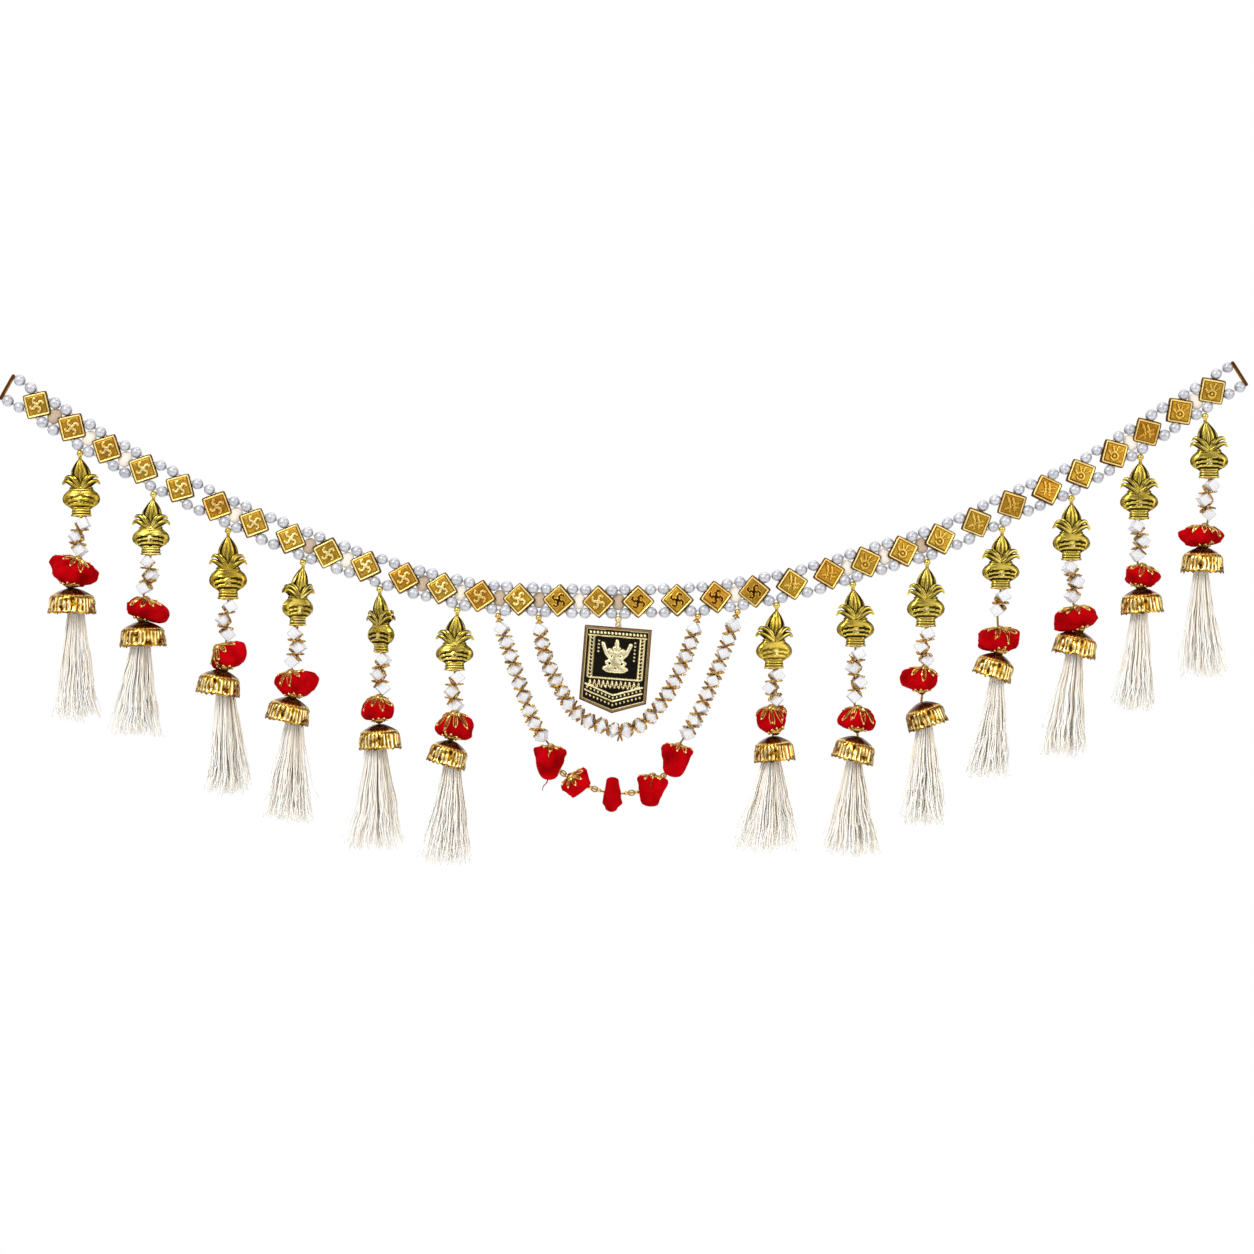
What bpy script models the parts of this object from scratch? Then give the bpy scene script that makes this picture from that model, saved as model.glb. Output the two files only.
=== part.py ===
"""Toran door hanging: a sagging band of tiles and pearls that carries hangers, a pendant and swags.

The front faces -Y and the hanging falls along -Z. The origin is the outer face of the band's left
end bar, where it is tied up. Tables and sizes are in millimetres, and the meshes are in metres.
"""
import math
import random
from collections import namedtuple

import bmesh
import bpy
from mathutils import Matrix, Vector

MM = 0.001
DOWN = Vector((0.0, 0.0, -1.0))
CURVE_STEPS = 16  # stretches between two points of a route when its length is measured
CLEAR = 0.35  # gap between neighbouring pieces

# Band: tiles joined by two rows of pearls
TILE_COUNT = 33
TILE_FACE = 17.4  # side of the square front and back faces
TILE_MIDDLE = 18.8  # side where the front and back bevels meet
TILE_THICK = 5.6
TILE_EDGE = 1.2  # distance of that line behind mid thickness, clear of the threads' holes
TILE_RIM = 1.6  # width of the raised rim
TILE_RECESS = 0.7  # depth of the field inside the rim
ROW_OFFSET = 8.9  # pearl rows above and below the band's middle line
PEARL_RADIUS = 4.1
PEARL_REACH = 4.3  # half length of a pearl along its thread
PEARL_BELLY = 0.4  # its full width reaches this far either side, as a part of the half length
PEARL_STEP = 5.0  # pearl centres either side of the middle between two tiles
THREAD_RADIUS = 0.8
END_REACH = 0.88  # end bar's outer face past the last tile, in tile pitches
END_BAR = (2.4, 22.0, 5.0)  # along the band, across it, deep

# The band's sag, read at every second tile: height and distance from the first tile's centre
BandPoint = namedtuple("BandPoint", "tile across height")
BAND_POINTS = [BandPoint(*row) for row in (
    (1, 0.0, 0.0), (3, 53.2, -33.4), (5, 108.7, -63.1), (7, 164.9, -89.7), (9, 221.2, -112.5),
    (11, 278.9, -131.5), (13, 336.7, -145.2), (15, 396.7, -148.6), (17, 456.8, -149.4),
    (19, 516.0, -145.9), (21, 573.8, -136.0), (23, 630.0, -119.3), (25, 686.3, -101.8),
    (27, 741.0, -76.0), (29, 793.4, -52.4), (31, 843.6, -20.5), (33, 893.0, 10.6))]

# Hangers: each hangs after the tile of that number. Places are measured from its ball, x across and
# z down: the charm's turn and foot, its beads, then bud, bell and tassel with their sizes and tilts.
Hanger = namedtuple("Hanger", (
    "after turn charm_x foot_z beads side bud_x bud_z bud_w bud_h bud_tilt "
    "bell_x bell_w rim_z bell_tilt head_x head_w tip_x tip_w tip_z"))
HANGERS = [Hanger(*row) for row in (
    (2, 0, 1, 48, 3, 1, -6, 90, 36, 22, 20, -6, 36, 122, 1, -3, 14, -3, 32, 201),
    (4, 0, -2, 46, 3, -1, -5, 88, 35, 23, 15, -8, 35, 116, -1, -10, 17, -14, 36, 182),
    (6, 0, 0, 52, 3, 1, 1, 95, 29, 22, -20, -7, 33, 125, 8, -1, 16, -1, 32, 199),
    (8, 40, -4, 48, 3, -1, -4, 92, 31, 21, -8, -11, 33, 122, 12, -6, 15, -11, 35, 195),
    (10, -40, 1, 48, 3, 1, -1, 91, 28, 18, 0, 0, 32, 122, -3, -3, 18, -5, 42, 196),
    (12, 0, -2, 46, 3, 1, -2, 88, 27, 20, 8, -7, 30, 119, 16, -4, 14, -10, 37, 191),
    (20, 15, -2, 48, 3, 1, -4, 87, 28, 20, -12, -2, 31, 119, -5, -4, 16, -9, 46, 185),
    (22, 0, 2, 47, 4, 1, 3, 102, 27, 18, 3, 1, 32, 135, 14, 1, 13, -1, 40, 204),
    (24, 0, -1, 49, 3, 1, -6, 89, 30, 18, 8, -1, 31, 126, -18, -2, 14, -4, 33, 198),
    (26, 0, -1, 45, 2, 1, -3, 84, 32, 18, 0, -6, 30, 114, 18, -4, 11, -12, 30, 187),
    (28, 0, 0, 47, 3, -1, 3, 91, 35, 21, -13, 3, 33, 120, 12, 2, 14, -7, 33, 194),
    (30, 0, -1, 47, 3, -1, 1, 93, 31, 17, 10, 1, 32, 119, -5, -1, 14, -5, 30, 190),
    (32, 0, 3, 47, 3, 1, -3, 91, 33, 21, 0, -2, 32, 119, 2, -3, 12, -1, 33, 196))]
BALL_RADIUS = 2.5
BALL_DROP = 4.5  # ball's centre below the pearl row, along the band's normal
CHARM_TOP = 4.2  # top of the charm below the ball's centre
CHARM_SIDES = 6

# A charm's outline from its top to its foot: part of the height, half width, half depth
CharmRing = namedtuple("CharmRing", "height width depth")
CHARM_RINGS = [CharmRing(*row) for row in (
    (0.00, 1.2, 1.2), (0.17, 6.6, 3.0), (0.29, 7.6, 3.2), (0.345, 15.2, 2.4), (0.46, 9.0, 3.0),
    (0.59, 12.2, 3.8), (0.70, 14.6, 4.2), (0.80, 12.4, 3.8), (0.88, 7.2, 3.2), (1.00, 7.8, 3.0))]

# Bead strings: faceted beads with flat spacers between them
BEAD_RADIUS = 5.5
BEAD_PITCH = 10.8
BEAD_ZIGZAG = 2.2
SPACER_RADIUS = 5.6
SPACER_SPAN = 0.36  # from a bead's centre to the necks round its spacer, as a part of the pitch
NECK_RADIUS = 1.5
CORE_RADIUS = 0.9
STRING_SIDES = 4

# Buds on the hangers, pierced for the core wire
BUD_SIDES = 8
BUD_HOLE = 1.4
BUD_DEPTH = 0.8  # front to back, as a part of its width
BUD_RINGS = ((-0.5, 0.42), (-0.22, 0.92), (0.18, 1.0), (0.5, 0.5))  # height, half width

# Bells: a shallow cone on a steep skirt, hollow below for the tassel's head
BELL_SIDES = 8
BELL_HEIGHT = 19.5
BELL_RINGS = ((0.0, 0.15), (0.27, 0.80), (0.42, 0.93), (1.0, 1.0))  # parts of height and rim radius
BELL_ROOF = 12.0  # drop of the hollow's roof
BELL_ROOF_RADIUS = 11.0

# Tassels: locks fused into a head inside the bell
TASSEL_SEED = 7
OUTER_LOCKS = 8
INNER_LOCKS = 3
HEAD_SIDES = 6
HEAD_FOOT = 1.5  # head's lower face above the bell's rim
LOCK_ROOT = 0.2  # lock's half width at the head, as a part of the head's radius
LOCK_TIP = 0.27  # the same at the tip, as a part of the tassel's half width
LOCK_UNEVEN = 4.0

# Pendant: a five-sided plaque that hangs a little turned
PENDANT_AFTER = 16
PENDANT_WIDTH = 50.0
PENDANT_SIDE = 55.5
PENDANT_POINT = 8.7  # further drop of the lower point
PENDANT_THICK = 5.0
PENDANT_RIM = 3.0
PENDANT_RECESS = 1.2
PENDANT_DROP = 6.6  # upper edge below its ball
PENDANT_TILT = math.radians(4.5)
BAIL_RADIUS = 1.6

# Swags: routes of the bead strings between their upper balls, from the first tile's centre
INNER_AFTER = (14, 18)
INNER_ROUTE = ((385.3, -187.7), (395.2, -211.3), (411.9, -235.6), (443.0, -248.8),
               (462.1, -240.9), (481.1, -216.6), (494.8, -186.2))
INNER_BEADS = (11, 10)
INNER_END = 0.5  # from a half's last bead to where the halves meet, in bead pitches
OUTER_AFTER = (13, 19)
OUTER_ROUTES = (((355.5, -177.0), (361.8, -196.1), (370.1, -221.2), (379.2, -244.7)),
                ((525.2, -178.6), (517.6, -199.1), (508.4, -222.7), (498.6, -242.4)))
OUTER_BEADS = 9
OUTER_END = 1.0  # from the last bead to the bud
SWAG_BALL = 2.3

# Buds of the outer swag: middles of the base, where the string meets it, and of the tip, then the
# half widths at base, belly and tip, and the belly's place on the way down
SwagBud = namedtuple("SwagBud", "base_x base_z tip_x tip_z base belly tip belly_at")
SWAG_BUDS = [SwagBud(*row) for row in (
    (390.6, -259.5, 388.4, -285.0, 12.0, 13.2, 4.2, 0.16),
    (405.6, -281.8, 415.2, -293.6, 10.6, 12.0, 8.0, 0.30),
    (437.8, -282.7, 436.2, -309.3, 4.6, 8.2, 3.6, 0.75),
    (467.8, -281.7, 465.6, -305.2, 11.0, 12.0, 5.4, 0.16),
    (487.7, -258.7, 482.6, -282.7, 11.6, 12.6, 4.6, 0.18))]
BUD_BULGE = 0.85, 0.35  # place below the belly, and the share of its width over the tip's kept there
LINK_RADIUS = 1.2

FINISHES = {  # base colour, roughness, metallic
    "tile_gold": ((0.62, 0.36, 0.06), 0.35, 0.9),
    "charm_gold": ((0.72, 0.60, 0.20), 0.25, 1.0),
    "antique_gold": ((0.60, 0.50, 0.26), 0.35, 0.9),
    "white_bead": ((0.90, 0.90, 0.94), 0.3, 0.0),
    "red_velvet": ((0.55, 0.0, 0.015), 0.85, 0.0),
    "cream_silk": ((0.80, 0.75, 0.65), 0.6, 0.0),
}


def smooth_point(points, t):
    """Point at t, from 0 to the last index, on a smooth curve through all the points."""
    last = len(points) - 1
    k = min(max(int(math.floor(t)), 0), last - 1)
    f = t - k
    a = points[k - 1] if k else 2 * points[0] - points[1]
    b = points[k]
    c = points[k + 1]
    d = points[k + 2] if k + 1 < last else 2 * points[last] - points[last - 1]
    return 0.5 * (2 * b + (c - a) * f + (2 * a - 5 * b + 4 * c - d) * f ** 2
                  + (3 * b - a - 3 * c + d) * f ** 3)


def evenly_spaced(points, fractions):
    """Points at the given parts of the length of a smooth curve through all the points."""
    steps = CURVE_STEPS * (len(points) - 1)
    dense = [smooth_point(points, i / CURVE_STEPS) for i in range(steps + 1)]
    lengths = [0.0]
    for before, after in zip(dense, dense[1:]):
        lengths.append(lengths[-1] + (after - before).length)
    found = []
    for fraction in fractions:
        target = fraction * lengths[-1]
        k = max(i for i in range(steps) if lengths[i] <= target)
        part = (target - lengths[k]) / (lengths[k + 1] - lengths[k])
        found.append(dense[k].lerp(dense[k + 1], part))
    return found


def band_raw(tile):
    """Point on the band's middle line at a tile number, from the first tile's centre."""
    knots = [Vector((p.across, 0.0, p.height)) for p in BAND_POINTS]
    return smooth_point(knots, (tile - 1) / 2)


ORIGIN = band_raw(1 - END_REACH)
BandFrame = namedtuple("BandFrame", "point along up pitch")


def band_frame(tile):
    """Place and directions of the band at a tile number, which may lie between two tiles."""
    step = 0.02
    along = band_raw(tile + step) - band_raw(tile - step)
    pitch = along.length / (2 * step)
    along.normalize()
    return BandFrame(band_raw(tile) - ORIGIN, along, Vector((-along.z, 0.0, along.x)), pitch)


def notch(after):
    """Centre of a ball that hangs between the two lower pearls after a tile."""
    frame = band_frame(after + 0.5)
    return frame.point - frame.up * (ROW_OFFSET + BALL_DROP)


def loft(bm, rings, closed=False):
    """Adds a solid through rings of equal point counts; closed joins the last ring to the first."""
    loops = [[bm.verts.new(point) for point in ring] for ring in rings]
    pairs = list(zip(loops, loops[1:]))
    if closed:
        pairs.append((loops[-1], loops[0]))
    else:
        bm.faces.new(loops[0][::-1])
        bm.faces.new(loops[-1])
    for upper, lower in pairs:
        for i in range(len(upper)):
            j = (i + 1) % len(upper)
            bm.faces.new((upper[i], upper[j], lower[j], lower[i]))


def ring(centre, along, radius, sides, width=None):
    """Polygon round a point, square to a direction in the XZ plane; width is its reach sideways."""
    across = Vector((-along.z, 0.0, along.x)).normalized()
    depth = Vector((0.0, 1.0, 0.0))
    sideways = radius if width is None else width
    points = []
    for i in range(sides):
        angle = 2 * math.pi * i / sides
        points.append(centre + across * (sideways * math.cos(angle)) + depth * (radius * math.sin(angle)))
    return points


def tube(bm, centres, radii, sides):
    """Adds a tube of changing radius along a line of points in the XZ plane."""
    rings = []
    for i, (centre, radius) in enumerate(zip(centres, radii)):
        along = centres[min(i + 1, len(centres) - 1)] - centres[max(i - 1, 0)]
        rings.append(ring(centre, along.normalized(), radius, sides))
    loft(bm, rings)


def material(name):
    """The named finish as a Principled material."""
    if name in bpy.data.materials:
        return bpy.data.materials[name]
    colour, roughness, metallic = FINISHES[name]
    made = bpy.data.materials.new(name)
    made.use_nodes = True
    shader = made.node_tree.nodes["Principled BSDF"]
    shader.inputs["Base Color"].default_value = (*colour, 1.0)
    shader.inputs["Roughness"].default_value = roughness
    shader.inputs["Metallic"].default_value = metallic
    return made


def place(name, bm, finish, at=None, parent=None):
    """Makes an object of a mesh in millimetres, placed at a point or under an empty."""
    bmesh.ops.recalc_face_normals(bm, faces=bm.faces)
    bmesh.ops.scale(bm, vec=(MM, MM, MM), verts=bm.verts)
    mesh = bpy.data.meshes.new(name)
    bm.to_mesh(mesh)
    bm.free()
    mesh.materials.append(material(finish))
    mesh.shade_smooth()
    mesh.set_sharp_from_angle(angle=math.radians(35))
    made = bpy.data.objects.new(name, mesh)
    if at is not None:
        made.location = at * MM
    made.parent = parent
    bpy.context.scene.collection.objects.link(made)
    return made


def union(base, bm):
    """Joins a second mesh to an object, as a hidden operand of a Boolean union."""
    operand = place(base.name + "_operand", bm, base.data.materials[0].name, parent=base.parent)
    operand.location = base.location
    operand.hide_render = True
    operand.display_type = "WIRE"
    join = base.modifiers.new("union", "BOOLEAN")
    join.operation = "UNION"
    join.solver = "EXACT"
    join.object = operand


def add_tile(bm, tile):
    """Adds one diamond tile, standing on its corner, with a rim round its sunk front field."""
    frame = band_frame(tile)

    def square(side, y):
        reach = side / math.sqrt(2)
        corners = (frame.along, frame.up, -frame.along, -frame.up)
        return [frame.point + corner * reach + Vector((0.0, y, 0.0)) for corner in corners]

    half = TILE_THICK / 2
    field = TILE_FACE - 2 * TILE_RIM
    loft(bm, [square(TILE_FACE, half), square(TILE_MIDDLE, TILE_EDGE), square(TILE_FACE, -half),
              square(field, -half), square(field, -half + TILE_RECESS)])


def add_end_bar(bm, tile, outward):
    """Adds the bar that closes the two pearl rows, with its outer face at a place on the band."""
    frame = band_frame(tile)
    thick, wide, deep = END_BAR
    rings = []
    for inward in (0.0, thick):
        centre = frame.point - frame.along * (outward * inward)
        rings.append([centre + frame.up * (wide / 2 * a) + Vector((0.0, deep / 2 * b, 0.0))
                      for a, b in ((1, 1), (1, -1), (-1, -1), (-1, 1))])
    loft(bm, rings)


def add_pearl_row(bm, side):
    """Adds one row of pearls on its thread, above the band's middle line for side 1."""
    centres = []
    radii = []

    def station(tile, shift, radius):
        frame = band_frame(tile)
        frame = band_frame(tile + shift / frame.pitch)
        centres.append(frame.point + frame.up * (ROW_OFFSET * side))
        radii.append(radius)

    inside_bar = END_REACH - 0.5 - 0.5 * END_BAR[0] / band_frame(1).pitch
    station(0.5 - inside_bar, 0.0, THREAD_RADIUS)
    for gap in range(TILE_COUNT + 1):
        middle = gap + 0.5
        near = PEARL_STEP - PEARL_BELLY * PEARL_REACH
        far = PEARL_STEP + PEARL_BELLY * PEARL_REACH
        end = PEARL_STEP + PEARL_REACH
        profile = ((-end, THREAD_RADIUS), (-far, PEARL_RADIUS), (-near, PEARL_RADIUS),
                   (0.0, NECK_RADIUS), (near, PEARL_RADIUS), (far, PEARL_RADIUS),
                   (end, THREAD_RADIUS))
        if gap == 0:
            profile = profile[1:]
        if gap == TILE_COUNT:
            profile = profile[:-1]
        for shift, radius in profile:
            station(middle, shift, radius)
    station(TILE_COUNT + 0.5 + inside_bar, 0.0, THREAD_RADIUS)
    tube(bm, centres, radii, 5)


def make_band():
    """The band: all tiles and the two end bars, joined by the two pearl rows."""
    bm = bmesh.new()
    for tile in range(1, TILE_COUNT + 1):
        add_tile(bm, tile)
    add_end_bar(bm, 1 - END_REACH, -1)
    add_end_bar(bm, TILE_COUNT + END_REACH, 1)
    band = place("band", bm, "tile_gold")
    rows = bmesh.new()
    add_pearl_row(rows, 1)
    add_pearl_row(rows, -1)
    union(band, rows)


def make_charm(name, hanger, empty):
    """Pot-shaped charm under its ball, flattened front to back and turned about its length."""
    height = hanger.foot_z - CHARM_TOP
    turn = Matrix.Rotation(math.radians(hanger.turn), 3, "Z")
    profile = [(-0.9 * BALL_RADIUS, 0.4 * BALL_RADIUS, 0.4 * BALL_RADIUS), (0.0, BALL_RADIUS, BALL_RADIUS)]
    for row in CHARM_RINGS:
        profile.append((CHARM_TOP + row.height * height, row.width, row.depth))
    rings = []
    for drop, width, depth in profile:
        shift = hanger.charm_x * min(max(drop / (0.5 * hanger.foot_z), 0.0), 1.0)
        points = ring(Vector(), DOWN, depth, CHARM_SIDES, width)
        rings.append([turn @ point + Vector((shift, 0.0, -drop)) for point in points])
    bm = bmesh.new()
    loft(bm, rings)
    place(name, bm, "charm_gold", parent=empty)


def bell_top(hanger):
    """Highest point of the bell and its axis, which a tilt swings off the vertical."""
    tilt = math.radians(hanger.bell_tilt)
    axis = Vector((-math.sin(tilt), 0.0, -math.cos(tilt)))
    top_x = hanger.bell_x + 0.6 * BELL_HEIGHT * math.sin(tilt)
    return Vector((top_x, 0.0, BELL_HEIGHT - hanger.rim_z)), axis


def core_x(hanger, drop):
    """Distance across of the core wire at a drop below the ball."""
    top = bell_top(hanger)[0]
    part = (drop - hanger.foot_z) / (-top.z - hanger.foot_z)
    return hanger.charm_x + (top.x - hanger.charm_x) * part


def bead_profile(centres):
    """Line and radii of a bead string: at each centre a bead, and a spacer midway to the next."""
    line = []
    radii = []
    for here, after in zip(centres, centres[1:] + [None]):
        line.append(here)
        radii.append(BEAD_RADIUS)
        if after is not None:
            line += [here.lerp(after, part) for part in (SPACER_SPAN, 0.5, 1 - SPACER_SPAN)]
            radii += [NECK_RADIUS, SPACER_RADIUS, NECK_RADIUS]
    return line, radii


def make_string(name, hanger, empty):
    """Beads under the charm, and the core wire that carries the bud and the bell."""
    bud_top = hanger.bud_z - 0.5 * hanger.bud_h
    pitch = min(BEAD_PITCH, (bud_top - hanger.foot_z - 2 * CLEAR) / hanger.beads)
    centres = []
    for k in range(hanger.beads):
        drop = hanger.foot_z + CLEAR + (k + 0.5) * pitch
        side = hanger.side * BEAD_ZIGZAG * (1 if k % 2 == 0 else -1)
        centres.append(Vector((core_x(hanger, drop) + side, 0.0, -drop)))
    line, radii = bead_profile(centres)
    start = hanger.foot_z + CLEAR
    foot = -centres[-1].z + 0.4 * pitch
    line = [Vector((core_x(hanger, start), 0.0, -start))] + line
    radii = [NECK_RADIUS] + radii
    line.append(Vector((core_x(hanger, foot), 0.0, -foot)))
    radii.append(CORE_RADIUS)
    top, axis = bell_top(hanger)
    rings = []
    line.append(top + DOWN)
    radii.append(CORE_RADIUS)
    for centre, radius in zip(line, radii):
        rings.append(ring(centre, DOWN, radius, STRING_SIDES))
    bm = bmesh.new()
    loft(bm, rings)
    string = place(name, bm, "white_bead", parent=empty)

    bell = bmesh.new()
    bell_rings = []
    for drop, part in BELL_RINGS:
        centre = top + axis * (drop * BELL_HEIGHT)
        bell_rings.append(ring(centre, axis, part * hanger.bell_w / 2, BELL_SIDES))
    bell_rings.append(ring(top + axis * BELL_ROOF, axis, BELL_ROOF_RADIUS, BELL_SIDES))
    loft(bell, bell_rings)
    union(string, bell)


def make_bud(name, hanger, empty):
    """Soft bud threaded on the core wire, tilted and off centre, with the wire's hole through it."""
    slope = math.tan(math.radians(hanger.bud_tilt))
    lowest = -bell_top(hanger)[0].z - (2.5 + 6.0 * abs(slope)) * CLEAR
    outer = []
    for height, width in reversed(BUD_RINGS):
        drop = min(hanger.bud_z - height * hanger.bud_h, lowest)
        half = width * hanger.bud_w / 2
        points = ring(Vector((0.0, 0.0, -drop)), DOWN, half * BUD_DEPTH, BUD_SIDES, half)
        shift = core_x(hanger, drop) + (hanger.bud_x - core_x(hanger, hanger.bud_z)) * min(1.0, 0.4 + width)
        outer.append([point + Vector((shift, 0.0, -slope * width * point.x)) for point in points])
    inner = []
    for face in (outer[-1], outer[0]):
        drop = -sum(point.z for point in face) / len(face)
        middle = Vector((core_x(hanger, drop), 0.0, -drop))
        points = ring(middle, DOWN, BUD_HOLE, BUD_SIDES)
        inner.append([point + Vector((0.0, 0.0, -slope * 0.5 * (point.x - middle.x))) for point in points])
    bm = bmesh.new()
    loft(bm, outer + inner, closed=True)
    place(name, bm, "red_velvet", parent=empty)


def lock(root, tip, root_half, tip_half, outward):
    """Rings of one three-sided lock that flares from its root to its tip."""
    sideways = Vector((-outward.y, outward.x, 0.0))
    rings = []
    for part, bow in ((0.0, 0.0), (0.5, 0.08), (1.0, 0.0)):
        centre = root.lerp(tip, part)
        spread = Vector((tip.x - root.x, tip.y - root.y, 0.0))
        centre -= spread * bow
        half = root_half + (tip_half - root_half) * part
        rings.append([centre - outward * half,
                      centre + outward * (0.5 * half) + sideways * (0.866 * half),
                      centre + outward * (0.5 * half) - sideways * (0.866 * half)])
    return rings


def make_tassel(name, hanger, empty, rng):
    """Tassel whose head sits in the bell's hollow, with locks that part below it."""
    top, axis = bell_top(hanger)
    roof = top + axis * BELL_ROOF
    slope = math.tan(math.radians(hanger.bell_tilt))
    radius = hanger.head_w / 2
    room = max(BELL_ROOF_RADIUS - radius - 4 * CLEAR, 0.0)
    head_x = min(max(hanger.head_x, roof.x - room), roof.x + room)
    foot = HEAD_FOOT - hanger.rim_z
    upper = ring(Vector((head_x, 0.0, roof.z)), DOWN, radius, HEAD_SIDES)
    for point in upper:
        point.z += -slope * (point.x - roof.x) - 1.5 * CLEAR
    lower = ring(Vector((head_x, 0.0, foot)), DOWN, radius, HEAD_SIDES)
    bm = bmesh.new()
    loft(bm, [upper, lower])
    tassel = place(name, bm, "cream_silk", parent=empty)

    locks = bmesh.new()
    half = hanger.tip_w / 2
    layers = ((OUTER_LOCKS, 0.72, 1.0, half * (1 - LOCK_TIP)), (INNER_LOCKS, 0.26, 0.75, half * 0.25))
    for count, root_part, thin, tip_radius in layers:
        for i in range(count):
            angle = 2 * math.pi * (i + 0.5) / count
            outward = Vector((math.cos(angle), math.sin(angle), 0.0))
            root = Vector((head_x, 0.0, foot + 1.2)) + outward * (root_part * radius)
            tip_z = -hanger.tip_z + LOCK_UNEVEN * rng.random()
            tip = Vector((hanger.tip_x, 0.0, tip_z)) + outward * tip_radius
            loft(locks, lock(root, tip, thin * LOCK_ROOT * radius, thin * LOCK_TIP * half, outward))
    union(tassel, locks)


def make_hangers():
    """All hangers, each under an empty at its ball's centre."""
    rng = random.Random(TASSEL_SEED)
    for number, hanger in enumerate(HANGERS, start=1):
        empty = bpy.data.objects.new("hanger_%02d" % number, None)
        empty.location = notch(hanger.after) * MM
        bpy.context.scene.collection.objects.link(empty)
        make_charm("charm_%02d" % number, hanger, empty)
        make_string("string_%02d" % number, hanger, empty)
        make_bud("bud_%02d" % number, hanger, empty)
        make_tassel("tassel_%02d" % number, hanger, empty, rng)


def make_pendant():
    """Five-sided plaque with a rim and a sunk front, hung by its bail from a ball."""
    turn = Matrix.Rotation(PENDANT_TILT, 3, "Y")
    hung = Vector((0.0, 0.0, -PENDANT_DROP))

    def outline(inset, y):
        half = PENDANT_WIDTH / 2 - inset
        side = PENDANT_SIDE - 0.2 * inset
        corners = ((-half, -inset), (half, -inset), (half, -side), (0.0, -side - PENDANT_POINT + 0.8 * inset),
                   (-half, -side))
        return [hung + turn @ Vector((x, y, z)) for x, z in corners]

    half = PENDANT_THICK / 2
    bm = bmesh.new()
    loft(bm, [outline(0.0, half), outline(0.0, -half), outline(PENDANT_RIM, -half),
              outline(PENDANT_RIM, -half + PENDANT_RECESS)])
    pendant = place("pendant", bm, "antique_gold", at=notch(PENDANT_AFTER))
    bail = bmesh.new()
    drops = (0.9 * BALL_RADIUS, 0.0, -0.9 * BALL_RADIUS, -PENDANT_DROP - 1.0)
    radii = (0.4 * BALL_RADIUS, BALL_RADIUS, BAIL_RADIUS, BAIL_RADIUS)
    tube(bail, [Vector((0.0, 0.0, drop)) for drop in drops], radii, 6)
    union(pendant, bail)


def from_tile(x, z):
    """Point of a route that is measured from the first tile's centre."""
    return Vector((x, 0.0, z)) - ORIGIN


def make_swag(name, route, beads, end, end_axis):
    """Bead string along a route, from its upper ball to an end that is square to a direction."""
    fall = (route[1] - route[0]).normalized()
    fractions = [(k + 0.95) / (beads - 0.05 + end) for k in range(beads)]
    line, radii = bead_profile(evenly_spaced(route, fractions))
    ball = [route[0] - fall * (0.9 * SWAG_BALL), route[0], route[0] + fall * SWAG_BALL]
    line = ball + line + [route[-1] - end_axis * NECK_RADIUS, route[-1]]
    radii = [0.4 * SWAG_BALL, SWAG_BALL, NECK_RADIUS] + radii + [NECK_RADIUS, NECK_RADIUS]
    bm = bmesh.new()
    tube(bm, line, radii, STRING_SIDES)
    place(name, bm, "white_bead")


def make_swags():
    """The inner swag in two halves that meet near its lowest point, and the outer one's two sides."""
    inner = [from_tile(x, z) for x, z in INNER_ROUTE]
    middle = len(inner) // 2
    half_gap = Vector((CLEAR / 2, 0.0, 0.0))
    left = [notch(INNER_AFTER[0])] + inner[:middle] + [inner[middle] - half_gap]
    right = [notch(INNER_AFTER[1])] + inner[:middle:-1] + [inner[middle] + half_gap]
    make_swag("swag_inner_left", left, INNER_BEADS[0], INNER_END, half_gap.normalized())
    make_swag("swag_inner_right", right, INNER_BEADS[1], INNER_END, -half_gap.normalized())
    for side, after, points, bud in zip(("left", "right"), OUTER_AFTER, OUTER_ROUTES,
                                        (SWAG_BUDS[0], SWAG_BUDS[-1])):
        base = from_tile(bud.base_x, bud.base_z)
        axis = (from_tile(bud.tip_x, bud.tip_z) - base).normalized()
        route = [notch(after)] + [from_tile(x, z) for x, z in points] + [base - axis * CLEAR]
        make_swag("swag_outer_" + side, route, OUTER_BEADS, OUTER_END, axis)


def make_swag_buds():
    """Five buds in a row at the foot of the outer swag, joined by links."""
    bm = bmesh.new()
    middles = []
    for bud in SWAG_BUDS:
        base = from_tile(bud.base_x, bud.base_z)
        tip = from_tile(bud.tip_x, bud.tip_z)
        axis = (tip - base).normalized()
        below, share = BUD_BULGE
        bulge = bud.tip + share * (bud.belly - bud.tip)
        profile = ((0.0, bud.base), (bud.belly_at, bud.belly), (below, bulge), (1.0, bud.tip))
        rings = []
        for part, half in profile:
            rings.append(ring(base.lerp(tip, part), axis, half * BUD_DEPTH, BUD_SIDES, half))
        loft(bm, rings)
        middles.append(base.lerp(tip, 0.5))
    buds = place("swag_buds", bm, "red_velvet")
    links = bmesh.new()
    tube(links, middles, [LINK_RADIUS] * len(middles), STRING_SIDES)
    union(buds, links)


for old in list(bpy.data.objects):
    bpy.data.objects.remove(old)
make_band()
make_hangers()
make_pendant()
make_swags()
make_swag_buds()
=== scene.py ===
"""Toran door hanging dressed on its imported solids: plated tiles and charms, pearls, faceted beads,
velvet buds, stamped bells and silky tassels. Tables and sizes are in millimetres, as in the solids."""
import math
import random
from collections import namedtuple

import bmesh
import bpy
import numpy as np
from mathutils import Matrix, Vector, noise
from mathutils.bvhtree import BVHTree


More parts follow.
